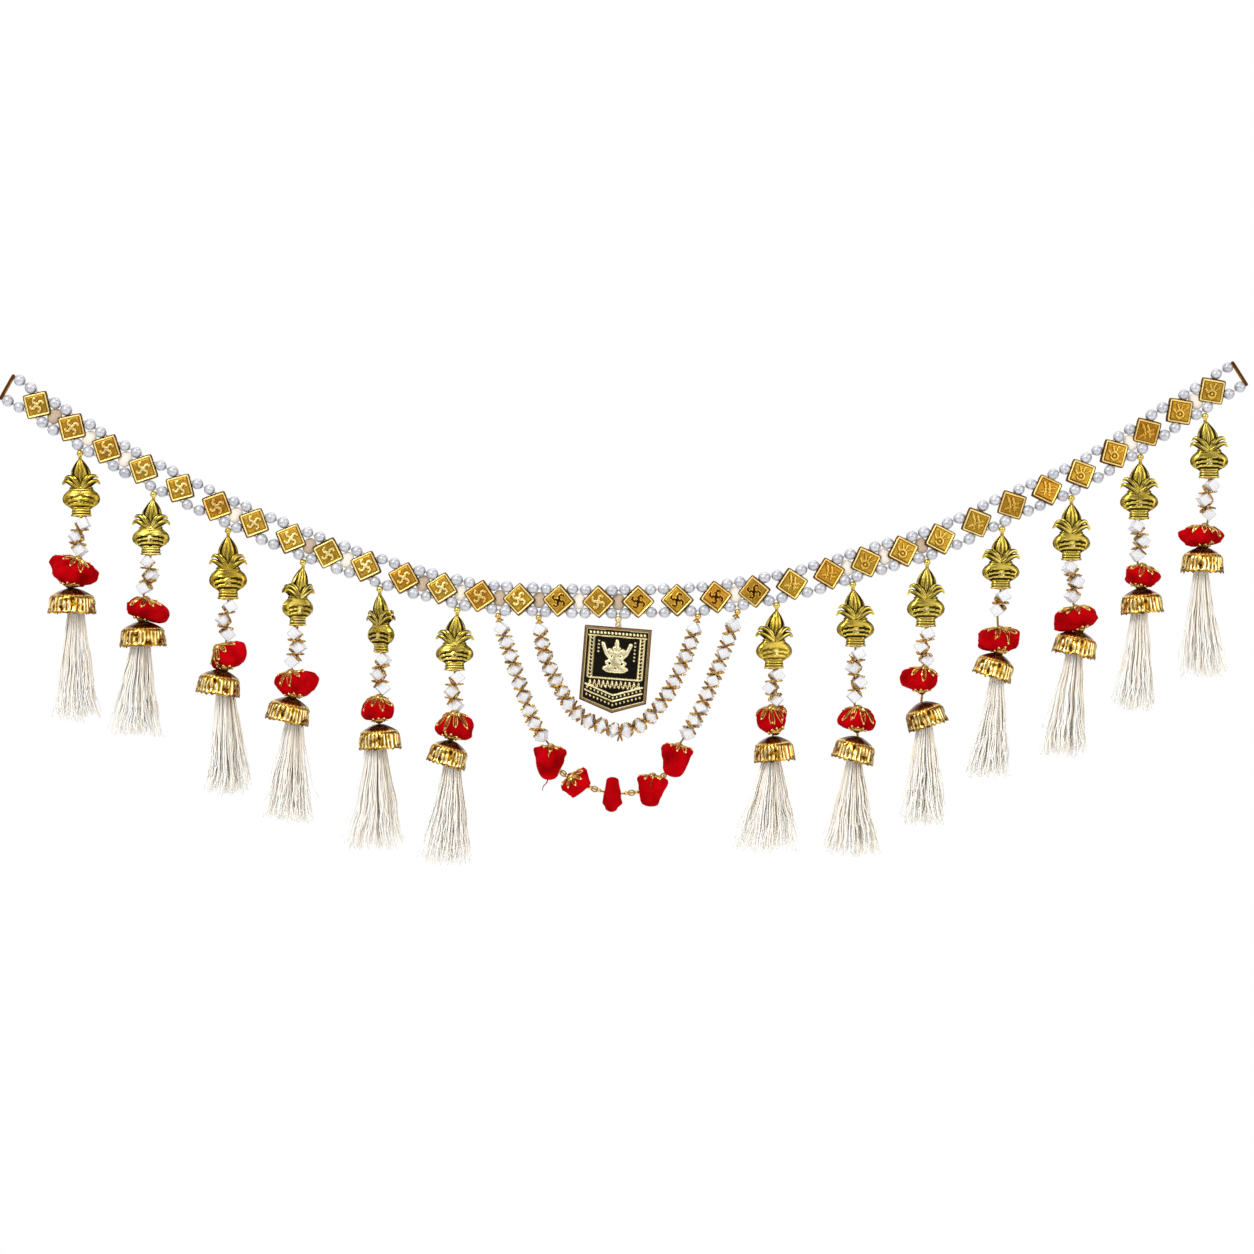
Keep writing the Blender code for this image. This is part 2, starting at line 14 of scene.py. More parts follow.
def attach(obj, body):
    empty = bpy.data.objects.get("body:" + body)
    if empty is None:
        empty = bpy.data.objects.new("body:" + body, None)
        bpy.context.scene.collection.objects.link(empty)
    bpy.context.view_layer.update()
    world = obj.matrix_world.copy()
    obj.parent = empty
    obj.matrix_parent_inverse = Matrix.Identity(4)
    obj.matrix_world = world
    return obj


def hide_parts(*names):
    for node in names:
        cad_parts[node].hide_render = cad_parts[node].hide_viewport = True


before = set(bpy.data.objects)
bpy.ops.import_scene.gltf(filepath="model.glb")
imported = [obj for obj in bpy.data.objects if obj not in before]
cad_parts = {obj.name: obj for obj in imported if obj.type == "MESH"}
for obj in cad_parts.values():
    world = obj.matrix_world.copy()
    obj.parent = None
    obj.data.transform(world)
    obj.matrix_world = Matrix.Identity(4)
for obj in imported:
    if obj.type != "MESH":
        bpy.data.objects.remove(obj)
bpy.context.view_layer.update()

MM = 0.001
DOWN = Vector((0.0, 0.0, -1.0))
FRONT = Vector((0.0, -1.0, 0.0))
rng = random.Random(33)

# Band and hangers, as the solids have them
TILE_COUNT = 33
ROW_OFFSET = 8.9
PEARL_STEP = 5.0
END_REACH = 0.88
BALL_DROP = 4.5
BandPoint = namedtuple("BandPoint", "tile across height")
BAND_POINTS = [BandPoint(*row) for row in (
    (1, 0.0, 0.0), (3, 53.2, -33.4), (5, 108.7, -63.1), (7, 164.9, -89.7), (9, 221.2, -112.5),
    (11, 278.9, -131.5), (13, 336.7, -145.2), (15, 396.7, -148.6), (17, 456.8, -149.4),
    (19, 516.0, -145.9), (21, 573.8, -136.0), (23, 630.0, -119.3), (25, 686.3, -101.8),
    (27, 741.0, -76.0), (29, 793.4, -52.4), (31, 843.6, -20.5), (33, 893.0, 10.6))]
Hanger = namedtuple("Hanger", (
    "after turn charm_x foot_z beads side bud_x bud_z bud_w bud_h bud_tilt "
    "bell_x bell_w rim_z bell_tilt head_x head_w tip_x tip_w tip_z"))
HANGERS = [Hanger(*row) for row in (
    (2, 0, 1, 48, 3, 1, -6, 90, 36, 22, 20, -6, 36, 122, 1, -3, 14, -3, 32, 201),
    (4, 0, -2, 46, 3, -1, -5, 88, 35, 23, 15, -8, 35, 116, -1, -10, 17, -14, 36, 182),
    (6, 0, 0, 52, 3, 1, 1, 95, 29, 22, -20, -7, 33, 125, 8, -1, 16, -1, 32, 199),
    (8, 40, -4, 48, 3, -1, -4, 92, 31, 21, -8, -11, 33, 122, 12, -6, 15, -11, 35, 195),
    (10, -40, 1, 48, 3, 1, -1, 91, 28, 18, 0, 0, 32, 122, -3, -3, 18, -5, 42, 196),
    (12, 0, -2, 46, 3, 1, -2, 88, 27, 20, 8, -7, 30, 119, 16, -4, 14, -10, 37, 191),
    (20, 15, -2, 48, 3, 1, -4, 87, 28, 20, -12, -2, 31, 119, -5, -4, 16, -9, 46, 185),
    (22, 0, 2, 47, 4, 1, 3, 102, 27, 18, 3, 1, 32, 135, 14, 1, 13, -1, 40, 204),
    (24, 0, -1, 49, 3, 1, -6, 89, 30, 18, 8, -1, 31, 126, -18, -2, 14, -4, 33, 198),
    (26, 0, -1, 45, 2, 1, -3, 84, 32, 18, 0, -6, 30, 114, 18, -4, 11, -12, 30, 187),
    (28, 0, 0, 47, 3, -1, 3, 91, 35, 21, -13, 3, 33, 120, 12, 2, 14, -7, 33, 194),
    (30, 0, -1, 47, 3, -1, 1, 93, 31, 17, 10, 1, 32, 119, -5, -1, 14, -5, 30, 190),
    (32, 0, 3, 47, 3, 1, -3, 91, 33, 21, 0, -2, 32, 119, 2, -3, 12, -1, 33, 196))]
CLEAR = 0.35
BEAD_PITCH = 10.8
BEAD_ZIGZAG = 2.2
BELL_HEIGHT = 19.5
BELL_ROOF = 12.0
PENDANT_AFTER = 16
PENDANT_WIDTH = 50.0
PENDANT_SIDE = 55.5
PENDANT_POINT = 8.7
PENDANT_THICK = 5.0
PENDANT_DROP = 6.6
PENDANT_TILT = math.radians(4.5)
INNER_AFTER = (14, 18)
INNER_ROUTE = ((385.3, -187.7), (395.2, -211.3), (411.9, -235.6), (443.0, -248.8),
               (462.1, -240.9), (481.1, -216.6), (494.8, -186.2))
INNER_BEADS = (11, 10)
INNER_END = 0.5
OUTER_AFTER = (13, 19)
OUTER_ROUTES = (((355.5, -177.0), (361.8, -196.1), (370.1, -221.2), (379.2, -244.7)),
                ((525.2, -178.6), (517.6, -199.1), (508.4, -222.7), (498.6, -242.4)))
OUTER_BEADS = 9
OUTER_END = 1.0
SwagBud = namedtuple("SwagBud", "base_x base_z tip_x tip_z base belly tip belly_at")
SWAG_BUDS = [SwagBud(*row) for row in (
    (390.6, -259.5, 388.4, -285.0, 12.0, 13.2, 4.2, 0.16),
    (405.6, -281.8, 415.2, -293.6, 10.6, 12.0, 8.0, 0.30),
    (437.8, -282.7, 436.2, -309.3, 4.6, 8.2, 3.6, 0.75),
    (467.8, -281.7, 465.6, -305.2, 11.0, 12.0, 5.4, 0.16),
    (487.7, -258.7, 482.6, -282.7, 11.6, 12.6, 4.6, 0.18))]


# Routes and places

def smooth_point(points, t):
    """Point at t, from 0 to the last index, on a smooth curve through all the points."""
    last = len(points) - 1
    k = min(max(int(math.floor(t)), 0), last - 1)
    f = t - k
    a = points[k - 1] if k else 2 * points[0] - points[1]
    b = points[k]
    c = points[k + 1]
    d = points[k + 2] if k + 1 < last else 2 * points[last] - points[last - 1]
    return 0.5 * (2 * b + (c - a) * f + (2 * a - 5 * b + 4 * c - d) * f ** 2
                  + (3 * b - a - 3 * c + d) * f ** 3)


def evenly_spaced(points, fractions):
    """Points at the given parts of the length of a smooth curve through all the points."""
    steps = 16 * (len(points) - 1)
    dense = [smooth_point(points, i / 16) for i in range(steps + 1)]
    lengths = [0.0]
    for before, after in zip(dense, dense[1:]):
        lengths.append(lengths[-1] + (after - before).length)
    found = []
    for fraction in fractions:
        target = min(fraction, 0.9999) * lengths[-1]
        k = max(i for i in range(steps) if lengths[i] <= target)
        found.append(dense[k].lerp(dense[k + 1], (target - lengths[k]) / (lengths[k + 1] - lengths[k])))
    return found


def band_raw(tile):
    """Point on the band's middle line at a tile number, from the first tile's centre."""
    knots = [Vector((p.across, 0.0, p.height)) for p in BAND_POINTS]
    return smooth_point(knots, (tile - 1) / 2)


ORIGIN = band_raw(1 - END_REACH)
BandFrame = namedtuple("BandFrame", "point along up pitch")


def band_frame(tile):
    """Place and directions of the band at a tile number, which may lie between two tiles."""
    along = band_raw(tile + 0.02) - band_raw(tile - 0.02)
    pitch = along.length / 0.04
    along.normalize()
    return BandFrame(band_raw(tile) - ORIGIN, along, Vector((-along.z, 0.0, along.x)), pitch)


def notch(after):
    """Centre of a ball that hangs between the two lower pearls after a tile."""
    here = band_frame(after + 0.5)
    return here.point - here.up * (ROW_OFFSET + BALL_DROP)


def from_tile(x, z):
    """Point of a route that is measured from the first tile's centre."""
    return Vector((x, 0.0, z)) - ORIGIN


def bell_top(hanger):
    """Highest point of the bell and its axis, which a tilt swings off the vertical."""
    tilt = math.radians(hanger.bell_tilt)
    axis = Vector((-math.sin(tilt), 0.0, -math.cos(tilt)))
    top_x = hanger.bell_x + 0.6 * BELL_HEIGHT * math.sin(tilt)
    return Vector((top_x, 0.0, BELL_HEIGHT - hanger.rim_z)), axis


def core_x(hanger, drop):
    """Distance across of the core wire at a drop below the ball."""
    top = bell_top(hanger)[0]
    part = (drop - hanger.foot_z) / (-top.z - hanger.foot_z)
    return hanger.charm_x + (top.x - hanger.charm_x) * part


# Meshes

class Shape:
    """Collects points, faces and named values at points, all in millimetres, for one mesh."""

    def __init__(self, *values):
        self.points = []
        self.faces = []
        self.values = {name: [] for name in values}
        self.count = 0

    def add(self, points, faces, **values):
        """Adds points and faces, whose numbers count from the first added point."""
        points = np.asarray(points, dtype=float).reshape(-1, 3)
        self.points.append(points)
        self.faces += [tuple(int(i) + self.count for i in face) for face in faces]
        for name, column in self.values.items():
            value = values.get(name, 0.0)
            column.append(np.broadcast_to(np.asarray(value, dtype=float), (len(points),)))
        self.count += len(points)

    def build(self, name, material, smooth_angle=40.0):
        """Makes the object, in metres, with its values stored as point attributes."""
        mesh = bpy.data.meshes.new(name)
        points = np.concatenate(self.points) * MM
        mesh.from_pydata(points.tolist(), [], self.faces)
        for key, column in self.values.items():
            layer = mesh.attributes.new(key, "FLOAT", "POINT")
            layer.data.foreach_set("value", np.concatenate(column).astype(np.float32))
        mesh.materials.append(material)
        mesh.update()
        mesh.shade_smooth()
        if smooth_angle < 180.0:
            mesh.set_sharp_from_angle(angle=math.radians(smooth_angle))
        made = bpy.data.objects.new(name, mesh)
        bpy.context.scene.collection.objects.link(made)
        return made


def grid_faces(rows, columns, wrap=False, flip=False):
    """Quads of a grid of points, row by row; wrap joins the last column to the first."""
    faces = []
    for r in range(rows - 1):
        for c in range(columns if wrap else columns - 1):
            d = (c + 1) % columns
            face = (r * columns + c, r * columns + d, (r + 1) * columns + d, (r + 1) * columns + c)
            faces.append(face[::-1] if flip else face)
    return faces


def row_face(row, columns):
    """One face over a whole row of points."""
    return tuple(range(row * columns, (row + 1) * columns))


def tube_faces(rows, columns, flip=False):
    """Faces of a tube of points, row by row, with both ends closed."""
    ends = (row_face(0, columns)[::-1], row_face(rows - 1, columns))
    return grid_faces(rows, columns, wrap=True, flip=flip) + [end[::-1] if flip else end for end in ends]


def border(grid):
    """Values round the border of a grid, each once."""
    return np.concatenate([grid[0, :-1], grid[:-1, -1], grid[-1, :0:-1], grid[:0:-1, 0]])


def circle(steps):
    """Angles of even steps round a circle."""
    return [2 * math.pi * i / steps for i in range(steps)]


def turned(profile, sides):
    """Points and faces of a round solid about -Z: profile rows are radius and drop, top first."""
    points = [(radius * math.cos(angle), radius * math.sin(angle), -drop)
              for radius, drop in profile for angle in circle(sides)]
    return np.array(points), tube_faces(len(profile), sides, flip=True)


def ball(radius, sides, rows):
    """Round ball with small flat poles."""
    angles = [math.pi * (0.03 + 0.94 * i / rows) for i in range(rows + 1)]
    return turned([(radius * math.sin(angle), -radius * math.cos(angle)) for angle in angles], sides)


def moved(points, place, axis=DOWN, spin=0.0):
    """Points turned from -Z to an axis, spun about it, and carried to a place."""
    turn = DOWN.rotation_difference(axis).to_matrix() @ Matrix.Rotation(spin, 3, "Z")
    return np.asarray(points) @ np.array(turn).T + np.array(place)


def add_moved(shape, made, place, axis=DOWN, **values):
    """Adds points and faces made about -Z, turned to an axis and carried to a place."""
    shape.add(moved(made[0], place, axis), made[1], **values)


def tube_points(path, radii, sides):
    """Points of a tube along a path, with a radius at each point."""
    points = []
    side = None
    for i, (centre, radius) in enumerate(zip(path, radii)):
        along = (path[min(i + 1, len(path) - 1)] - path[max(i - 1, 0)]).normalized()
        if side is None:
            side = along.cross(FRONT if abs(along.y) < 0.9 else DOWN).normalized()
        side = (side - along * side.dot(along)).normalized()
        other = along.cross(side)
        for angle in circle(sides):
            points.append(centre + side * (radius * math.cos(angle)) + other * (radius * math.sin(angle)))
    return np.array(points)


def add_tube(shape, path, radii, sides, loop=False, **values):
    """Adds a tube with closed ends, or a closed loop; one radius may stand for all."""
    if isinstance(radii, float):
        radii = [radii] * len(path)
    if loop:
        path = [*path, path[0]]
        radii = [*radii, radii[0]]
    faces = grid_faces(len(path), sides, wrap=True) if loop else tube_faces(len(path), sides)
    shape.add(tube_points(path, radii, sides), faces, **values)


# Relief, as rounded bumps of height 0 to 1 on a field of x and z

def dome(x, z, cx, cz, rx, rz, angle=0.0):
    """Rounded bump over an ellipse."""
    c, s = math.cos(angle), math.sin(angle)
    u = ((x - cx) * c + (z - cz) * s) / rx
    v = (-(x - cx) * s + (z - cz) * c) / rz
    return np.sqrt(np.clip(1 - u * u - v * v, 0, 1))


def stroke(x, z, corners, half, end_half=None):
    """Rounded ridge along a line of corners, its half width running to end_half."""
    end_half = half if end_half is None else end_half
    height = np.zeros_like(x)
    count = len(corners) - 1
    for i, (a, b) in enumerate(zip(corners, corners[1:])):
        dx, dz = b[0] - a[0], b[1] - a[1]
        t = np.clip(((x - a[0]) * dx + (z - a[1]) * dz) / (dx * dx + dz * dz), 0, 1)
        distance = np.hypot(x - a[0] - t * dx, z - a[1] - t * dz)
        width = half + (end_half - half) * (i + t) / count
        height = np.maximum(height, np.sqrt(np.clip(1 - (distance / width) ** 2, 0, 1)))
    return height


def strokes(x, z, lines, size, half, end_half=None):
    """The highest of several strokes, whose corners are in parts of a size."""
    return np.maximum.reduce([stroke(x, z, [(a * size, b * size) for a, b in line], half, end_half)
                              for line in lines])


def lift(height, *bumps):
    """Raises a field to every bump that is higher."""
    for bump in bumps:
        np.maximum(height, bump, out=height)


CROSS_ARM = ((0.0, 0.0), (0.12, 0.40), (0.06, 0.78), (0.30, 1.0), (0.62, 0.98), (0.80, 0.84))


def hooked_cross(x, z, size, half):
    """The traditional sign on tiles: four arms with curved hooks that turn clockwise."""
    arms = []
    for angle in circle(4):
        c, s = math.cos(angle), math.sin(angle)
        arms.append([(a * c - b * s, a * s + b * c) for a, b in CROSS_ARM])
    return strokes(x, z, arms, size, half, 0.6 * half)


# Materials

def new_material(name, sockets):
    """A Principled material with its uniform values, its tree and its shader."""
    made = bpy.data.materials.new(name)
    made.use_nodes = True
    shader = made.node_tree.nodes["Principled BSDF"]
    for socket, value in sockets.items():
        shader.inputs[socket].default_value = value
    return made, made.node_tree, shader


def node(tree, kind, **settings):
    """A new node with its settings and socket values."""
    made = tree.nodes.new(kind)
    for key, value in settings.items():
        if key in made.inputs:
            made.inputs[key].default_value = value
        else:
            setattr(made, key, value)
    return made


def ramp(tree, source, stops):
    """Colour from a value by stops of place and colour."""
    made = tree.nodes.new("ShaderNodeValToRGB")
    elements = made.color_ramp.elements
    while len(elements) > 1:
        elements.remove(elements[-1])
    elements[0].position = stops[0][0]
    elements[0].color = (*stops[0][1], 1.0)
    for place, colour in stops[1:]:
        elements.new(place).color = (*colour, 1.0)
    tree.links.new(source, made.inputs["Fac"])
    return made.outputs["Color"]


def blend_colours(tree, mode, factor, first, second):
    """Two colours mixed; the factor is a number or a socket."""
    made = tree.nodes.new("ShaderNodeMix")
    made.data_type = "RGBA"
    made.blend_type = mode
    for socket, value in ((made.inputs[0], factor), (made.inputs[6], first), (made.inputs[7], second)):
        if hasattr(value, "links"):
            tree.links.new(value, socket)
        elif isinstance(value, tuple):
            socket.default_value = (*value, 1.0)
        else:
            socket.default_value = value
    return made.outputs[2]


def noise_value(tree, scale, detail=4.0, stretch=(1.0, 1.0, 1.0)):
    """Noise over the object's own coordinates."""
    where = tree.nodes.new("ShaderNodeTexCoord")
    mapping = tree.nodes.new("ShaderNodeMapping")
    mapping.inputs["Scale"].default_value = stretch
    texture = node(tree, "ShaderNodeTexNoise", Scale=scale, Detail=detail)
    tree.links.new(where.outputs["Object"], mapping.inputs["Vector"])
    tree.links.new(mapping.outputs["Vector"], texture.inputs["Vector"])
    return texture.outputs["Fac"]


def attribute(tree, name):
    """A value stored at the mesh's points."""
    return node(tree, "ShaderNodeAttribute", attribute_name=name).outputs["Fac"]


def add_bump(tree, shader, source, strength, distance):
    """Fine relief from a value."""
    made = node(tree, "ShaderNodeBump", Strength=strength, Distance=distance)
    tree.links.new(source, made.inputs["Height"])
    tree.links.new(made.outputs["Normal"], shader.inputs["Normal"])


def rough_from(tree, shader, source, low, high):
    """Roughness that follows a value."""
    made = node(tree, "ShaderNodeMapRange")
    made.inputs["To Min"].default_value = low
    made.inputs["To Max"].default_value = high
    tree.links.new(source, made.inputs["Value"])
    tree.links.new(made.outputs["Result"], shader.inputs["Roughness"])


def darkened(tree, base, amount, source, stops):
    """A colour multiplied, by an amount, with the colour that a value has by its stops."""
    return blend_colours(tree, "MULTIPLY", amount, base, ramp(tree, source, stops))


def paint(tree, shader, colour):
    """Joins a colour to the shader's base colour."""
    tree.links.new(colour, shader.inputs["Base Color"])


WHITE = (1.0, 1.0, 1.0)
# Low relief stops are patina and painted shade in the hollows; high stops are rubbed gold and painted highlight.
PLATINGS = {  # stops of relief and colour, colour of the full tint, roughness, metallic
    "tile": (((0.0, (0.020, 0.006, 0.001)), (0.16, (0.085, 0.026, 0.003)), (0.32, (0.32, 0.135, 0.010)),
              (0.48, (0.70, 0.42, 0.045)), (0.66, (0.92, 0.62, 0.11)), (0.85, (1.0, 0.84, 0.32)),
              (1.0, (1.0, 0.93, 0.56))), (0.92, 0.62, 0.26), (0.26, 0.42), 0.90),
    "charm": (((0.0, (0.008, 0.006, 0.001)), (0.26, (0.045, 0.030, 0.003)), (0.50, (0.40, 0.29, 0.03)),
               (0.78, (0.72, 0.56, 0.11)), (1.0, (1.0, 0.88, 0.44))), (0.90, 0.76, 0.40), (0.16, 0.28), 0.95),
    "bell": (((0.0, (0.016, 0.005, 0.001)), (0.28, (0.13, 0.042, 0.004)), (0.52, (0.60, 0.33, 0.035)),
              (0.74, (0.95, 0.72, 0.24)), (1.0, (1.0, 0.95, 0.68))), (0.92, 0.72, 0.44), (0.14, 0.28), 0.95),
    "antique": (((0.0, (0.006, 0.005, 0.004)), (0.34, (0.018, 0.013, 0.008)), (0.52, (0.36, 0.28, 0.12)),
                 (0.80, (0.88, 0.76, 0.40)), (1.0, (1.0, 0.95, 0.68))), (0.46, 0.22, 0.12), (0.24, 0.38), 0.85),
    "spacer": (((0.0, (0.10, 0.045, 0.010)), (0.5, (0.52, 0.32, 0.07)), (1.0, (0.95, 0.68, 0.24))),
               (0.80, 0.58, 0.36), (0.16, 0.30), 0.95)}


def plated(name, stops, other, roughness, metallic):
    """Gold plating whose colour runs from patina and painted shade in the hollows to rubbed edges with painted
    highlights, with an uneven tint.
    """
    made, tree, shader = new_material(name, {"Roughness": roughness[0], "Metallic": metallic})
    base = ramp(tree, attribute(tree, "relief"), stops)
    tinted = blend_colours(tree, "MULTIPLY", attribute(tree, "tint"), base, other)
    patches = noise_value(tree, 160.0)
    paint(tree, shader, darkened(tree, tinted, 0.35, patches, ((0.3, (0.62, 0.55, 0.45)), (0.6, WHITE))))
    rough_from(tree, shader, patches, *roughness)
    add_bump(tree, shader, noise_value(tree, 900.0), 0.08, 0.0003)
    return made


def pearl_finish():
    """Cloudy lavender white, with painted shade towards the holes."""
    made, tree, shader = new_material("pearl", {
        "Roughness": 0.34, "Metallic": 0.40, "Coat Weight": 0.4, "Coat Roughness": 0.05})
    cloud = ramp(tree, noise_value(tree, 130.0), (
        (0.30, (0.41, 0.42, 0.46)), (0.55, (0.52, 0.53, 0.57)), (0.75, (0.62, 0.62, 0.66))))
    # Painted shade: both ends of each pearl, where it meets its neighbours and the thread, are painted dark brown.
    paint(tree, shader, darkened(tree, cloud, 1.0, attribute(tree, "collar"), (
        (0.0, WHITE), (0.55, (0.72, 0.69, 0.74)), (1.0, (0.22, 0.17, 0.15)))))
    add_bump(tree, shader, noise_value(tree, 300.0, 1.0), 0.03, 0.0003)
    return made


def bead_finish():
    """Opaque white, with painted shade along the bevelled edges of the facets."""
    made, tree, shader = new_material("white_facets", {
        "Roughness": 0.5, "Subsurface Weight": 0.3, "Subsurface Radius": (0.003, 0.003, 0.003)})
    cloud = ramp(tree, noise_value(tree, 120.0), ((0.30, (0.64, 0.64, 0.66)), (0.65, (0.69, 0.69, 0.71))))
    # Painted shade: the bevels between the facets are painted grey to brown.
    paint(tree, shader, darkened(tree, cloud, 1.0, attribute(tree, "edge"), (
        (0.0, WHITE), (0.5, (0.80, 0.78, 0.75)), (1.0, (0.42, 0.37, 0.30)))))
    add_bump(tree, shader, noise_value(tree, 500.0), 0.02, 0.0001)
    return made


def velvet_finish():
    """Crushed red pile."""
    made, tree, shader = new_material("red_velvet", {
        "Roughness": 0.85, "Sheen Weight": 0.15, "Sheen Roughness": 0.4, "Sheen Tint": (1.0, 0.0, 0.0, 1.0),
        "Specular IOR Level": 0.02})
    nap = noise_value(tree, 2600.0, 2.0)
    pile = ramp(tree, noise_value(tree, 90.0, 2.0), (
        (0.28, (0.20, 0.0, 0.001)), (0.5, (0.36, 0.0, 0.002)), (0.72, (0.50, 0.0, 0.004))))
    paint(tree, shader, darkened(tree, pile, 0.25, nap, ((0.35, (0.6, 0.5, 0.5)), (0.6, WHITE))))
    add_bump(tree, shader, nap, 0.35, 0.0006)
    return made


def silk_finish():
    """Cream yarn, its tint from inner shade to bright tips."""
    made, tree, shader = new_material("cream_silk", {
        "Roughness": 0.42, "Sheen Weight": 0.25, "Sheen Roughness": 0.3, "Subsurface Weight": 0.5,
        "Subsurface Radius": (0.004, 0.0036, 0.003)})
    tone = ramp(tree, attribute(tree, "tint"), (
        (0.0, (0.65, 0.51, 0.37)), (0.35, (0.88, 0.79, 0.65)), (0.65, (0.96, 0.89, 0.80)),
        (1.0, (1.0, 0.99, 0.96))))
    fibre = noise_value(tree, 900.0, 3.0, (1.0, 1.0, 0.12))
    paint(tree, shader, darkened(tree, tone, 0.2, fibre, ((0.3, (0.71, 0.65, 0.57)), (0.6, WHITE))))
    add_bump(tree, shader, fibre, 0.3, 0.0004)
    return made


def thread_finish():
    """Twisted pale thread."""
    made, tree, shader = new_material("thread", {"Roughness": 0.7})
    twist = noise_value(tree, 1500.0, 2.0)
    paint(tree, shader, ramp(tree, twist, ((0.3, (0.42, 0.35, 0.27)), (0.7, (0.78, 0.73, 0.66)))))
    add_bump(tree, shader, twist, 0.3, 0.0003)
    return made


def gap_shade_finish():
    """Painted shade for the gaps between tiles, from cream to tan by its tint."""
    made, tree, shader = new_material("painted_gap_shade", {"Roughness": 0.8})
    mottle = noise_value(tree, 700.0, 3.0)
    cream = ramp(tree, mottle, ((0.3, (0.72, 0.64, 0.54)), (0.7, (0.84, 0.77, 0.68))))
    tan = ramp(tree, mottle, ((0.3, (0.40, 0.30, 0.20)), (0.7, (0.54, 0.42, 0.31))))
    paint(tree, shader, blend_colours(tree, "MIX", attribute(tree, "tint"), cream, tan))
    add_bump(tree, shader, mottle, 0.3, 0.0003)
    return made


def floor_finish():
    """Nearly even pale grey."""
    made, tree, shader = new_material("pale_floor", {"Roughness": 0.6})
    paint(tree, shader, ramp(tree, noise_value(tree, 3.0), ((0.2, (0.90, 0.90, 0.90)), (0.8, (0.94, 0.94, 0.94)))))
    return made


LOOKS = {name: plated(name + "_plating", *values) for name, values in PLATINGS.items()}
LOOKS["pearl"] = pearl_finish()
LOOKS["bead"] = bead_finish()
LOOKS["velvet"] = velvet_finish()
LOOKS["silk"] = silk_finish()
LOOKS["thread"] = thread_finish()
LOOKS["pad"] = gap_shade_finish()
LOOKS["floor"] = floor_finish()


def dress(piece, slot, *nodes):
    """Rides a piece on the one body and hides the solids that it stands for; the slot is not used."""
    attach(piece, "root")
    if nodes:
        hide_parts(*nodes)
    return piece


# The band

TILE_HALF = 8.7
TILE_WIDE = 9.4
TILE_THICK = 5.6
TILE_EDGE = 1.2
TILE_RELIEF = 0.75
# The low relief of the sides paints them dark brown, as painted shade; the back is mid gold.
TILE_SIDES = (  # half width, depth and relief of the rings behind a tile's front
    (TILE_HALF, TILE_THICK / 2 - 0.6875, 0.30), (TILE_HALF + 0.55, TILE_THICK / 2 - 1.5, 0.16),
    (TILE_WIDE, 0.35 - TILE_EDGE, 0.10), (TILE_WIDE, -TILE_EDGE - 0.5, 0.10),
    (TILE_HALF + 0.2, -TILE_THICK / 2, 0.45), (TILE_HALF - 1.1, -TILE_THICK / 2, 0.5),
    (TILE_HALF - 1.5, -TILE_THICK / 2 + 0.5, 0.35))
TILE_MOTIFS = {
    "dark": (15, 17, 18, 19, 20),
    "ring": (23, 24, 25, 29, 30, 32, 33),
    "leaves": (21, 22, 26, 27, 28, 31)}
RAYS = (((-0.15, 0.25), (-0.42, 0.72)), ((0.10, 0.30), (0.22, 0.88)), ((0.40, 0.20), (0.74, 0.50)),
        ((-0.52, -0.10), (-0.80, 0.20)))
LEAVES = (((-0.62, 0.62), (-0.20, 0.05), (-0.05, -0.65)), ((-0.12, 0.70), (0.20, 0.10), (0.42, -0.55)),
          ((0.05, 0.05), (0.62, 0.42)), ((0.30, -0.20), (0.74, 0.02)), ((-0.30, -0.35), (-0.68, -0.62)))
TILE_TINTS = (0.0, 0.05, 0.1, 0.2, 0.3, 0.5)


def ring_and_rays(x, z, size, wide):
    """Second motif: a curled ring with a dot and short rays above it."""
    ring = [(0.42 * math.cos(a), 0.42 * math.sin(a) - 0.30) for a in np.linspace(-2.6, 2.9, 9)]
    height = dome(x, z, 0.0, -0.30 * size, 0.11 * wide, 0.11 * wide)
    lift(height, strokes(x, z, [ring], size, 0.075 * wide), strokes(x, z, RAYS, size, 0.075 * wide, 0.05 * wide))
    return height


def tile_relief(x, z, motif):
    """Height of a tile's front and its colour value of rubbing and painted shade, x and z along its sides in parts
    of its half side.
    """
    reach = np.maximum(np.abs(x), np.abs(z))
    rim = np.clip(1 - np.abs(reach - 0.915) / 0.085, 0, 1) ** 0.5
    groove = np.clip(1 - np.abs(reach - 0.785) / 0.05, 0, 1)
    if motif == "ring":
        sign, moat = (ring_and_rays(-z, x, 0.80, wide) for wide in (1.0, 1.8))
    elif motif == "leaves":
        sign, moat = (strokes(-z, x, LEAVES, 0.84, 0.09 * wide, 0.05 * wide) for wide in (1.0, 1.7))
    else:
        turned_x, turned_z = (x + z) / math.sqrt(2), (z - x) / math.sqrt(2)
        sign, moat = (hooked_cross(turned_x, turned_z, 0.52, half) for half in (0.105, 0.18))
    height = np.where(reach > 0.835, 0.25 + 0.75 * rim, 0.46 - 0.34 * groove)
    height = np.where(sign > 0, np.maximum(height, 0.50 + 0.5 * sign), height)
    corners = np.zeros_like(x)
    for sx, sz in ((-1, -1), (-1, 1), (1, -1), (1, 1)):
        lift(corners, dome(x, z, 0.60 * sx, 0.60 * sz, 0.13, 0.06, sx * sz * math.pi / 4))
    lift(height, np.where(corners > 0, 0.46 + 0.16 * corners, 0))
    # Painted shade: a darker ring round each sign.
    wear_and_shade = np.where((moat > 0) & (sign == 0), 0.55 * height, height)
    if motif in ("ring", "leaves"):
        wear_and_shade = np.where(sign > 0, 0.50 + 0.24 * sign, wear_and_shade)
    # Painted dark reflection: the signs of the dark tiles are painted near black, with a bright ring round them.
    if motif == "dark":
        wear_and_shade = np.where(sign > 0.1, 0.06, np.where(moat > 0, 0.60, wear_and_shade))
    return height, np.clip(wear_and_shade, 0, 1)


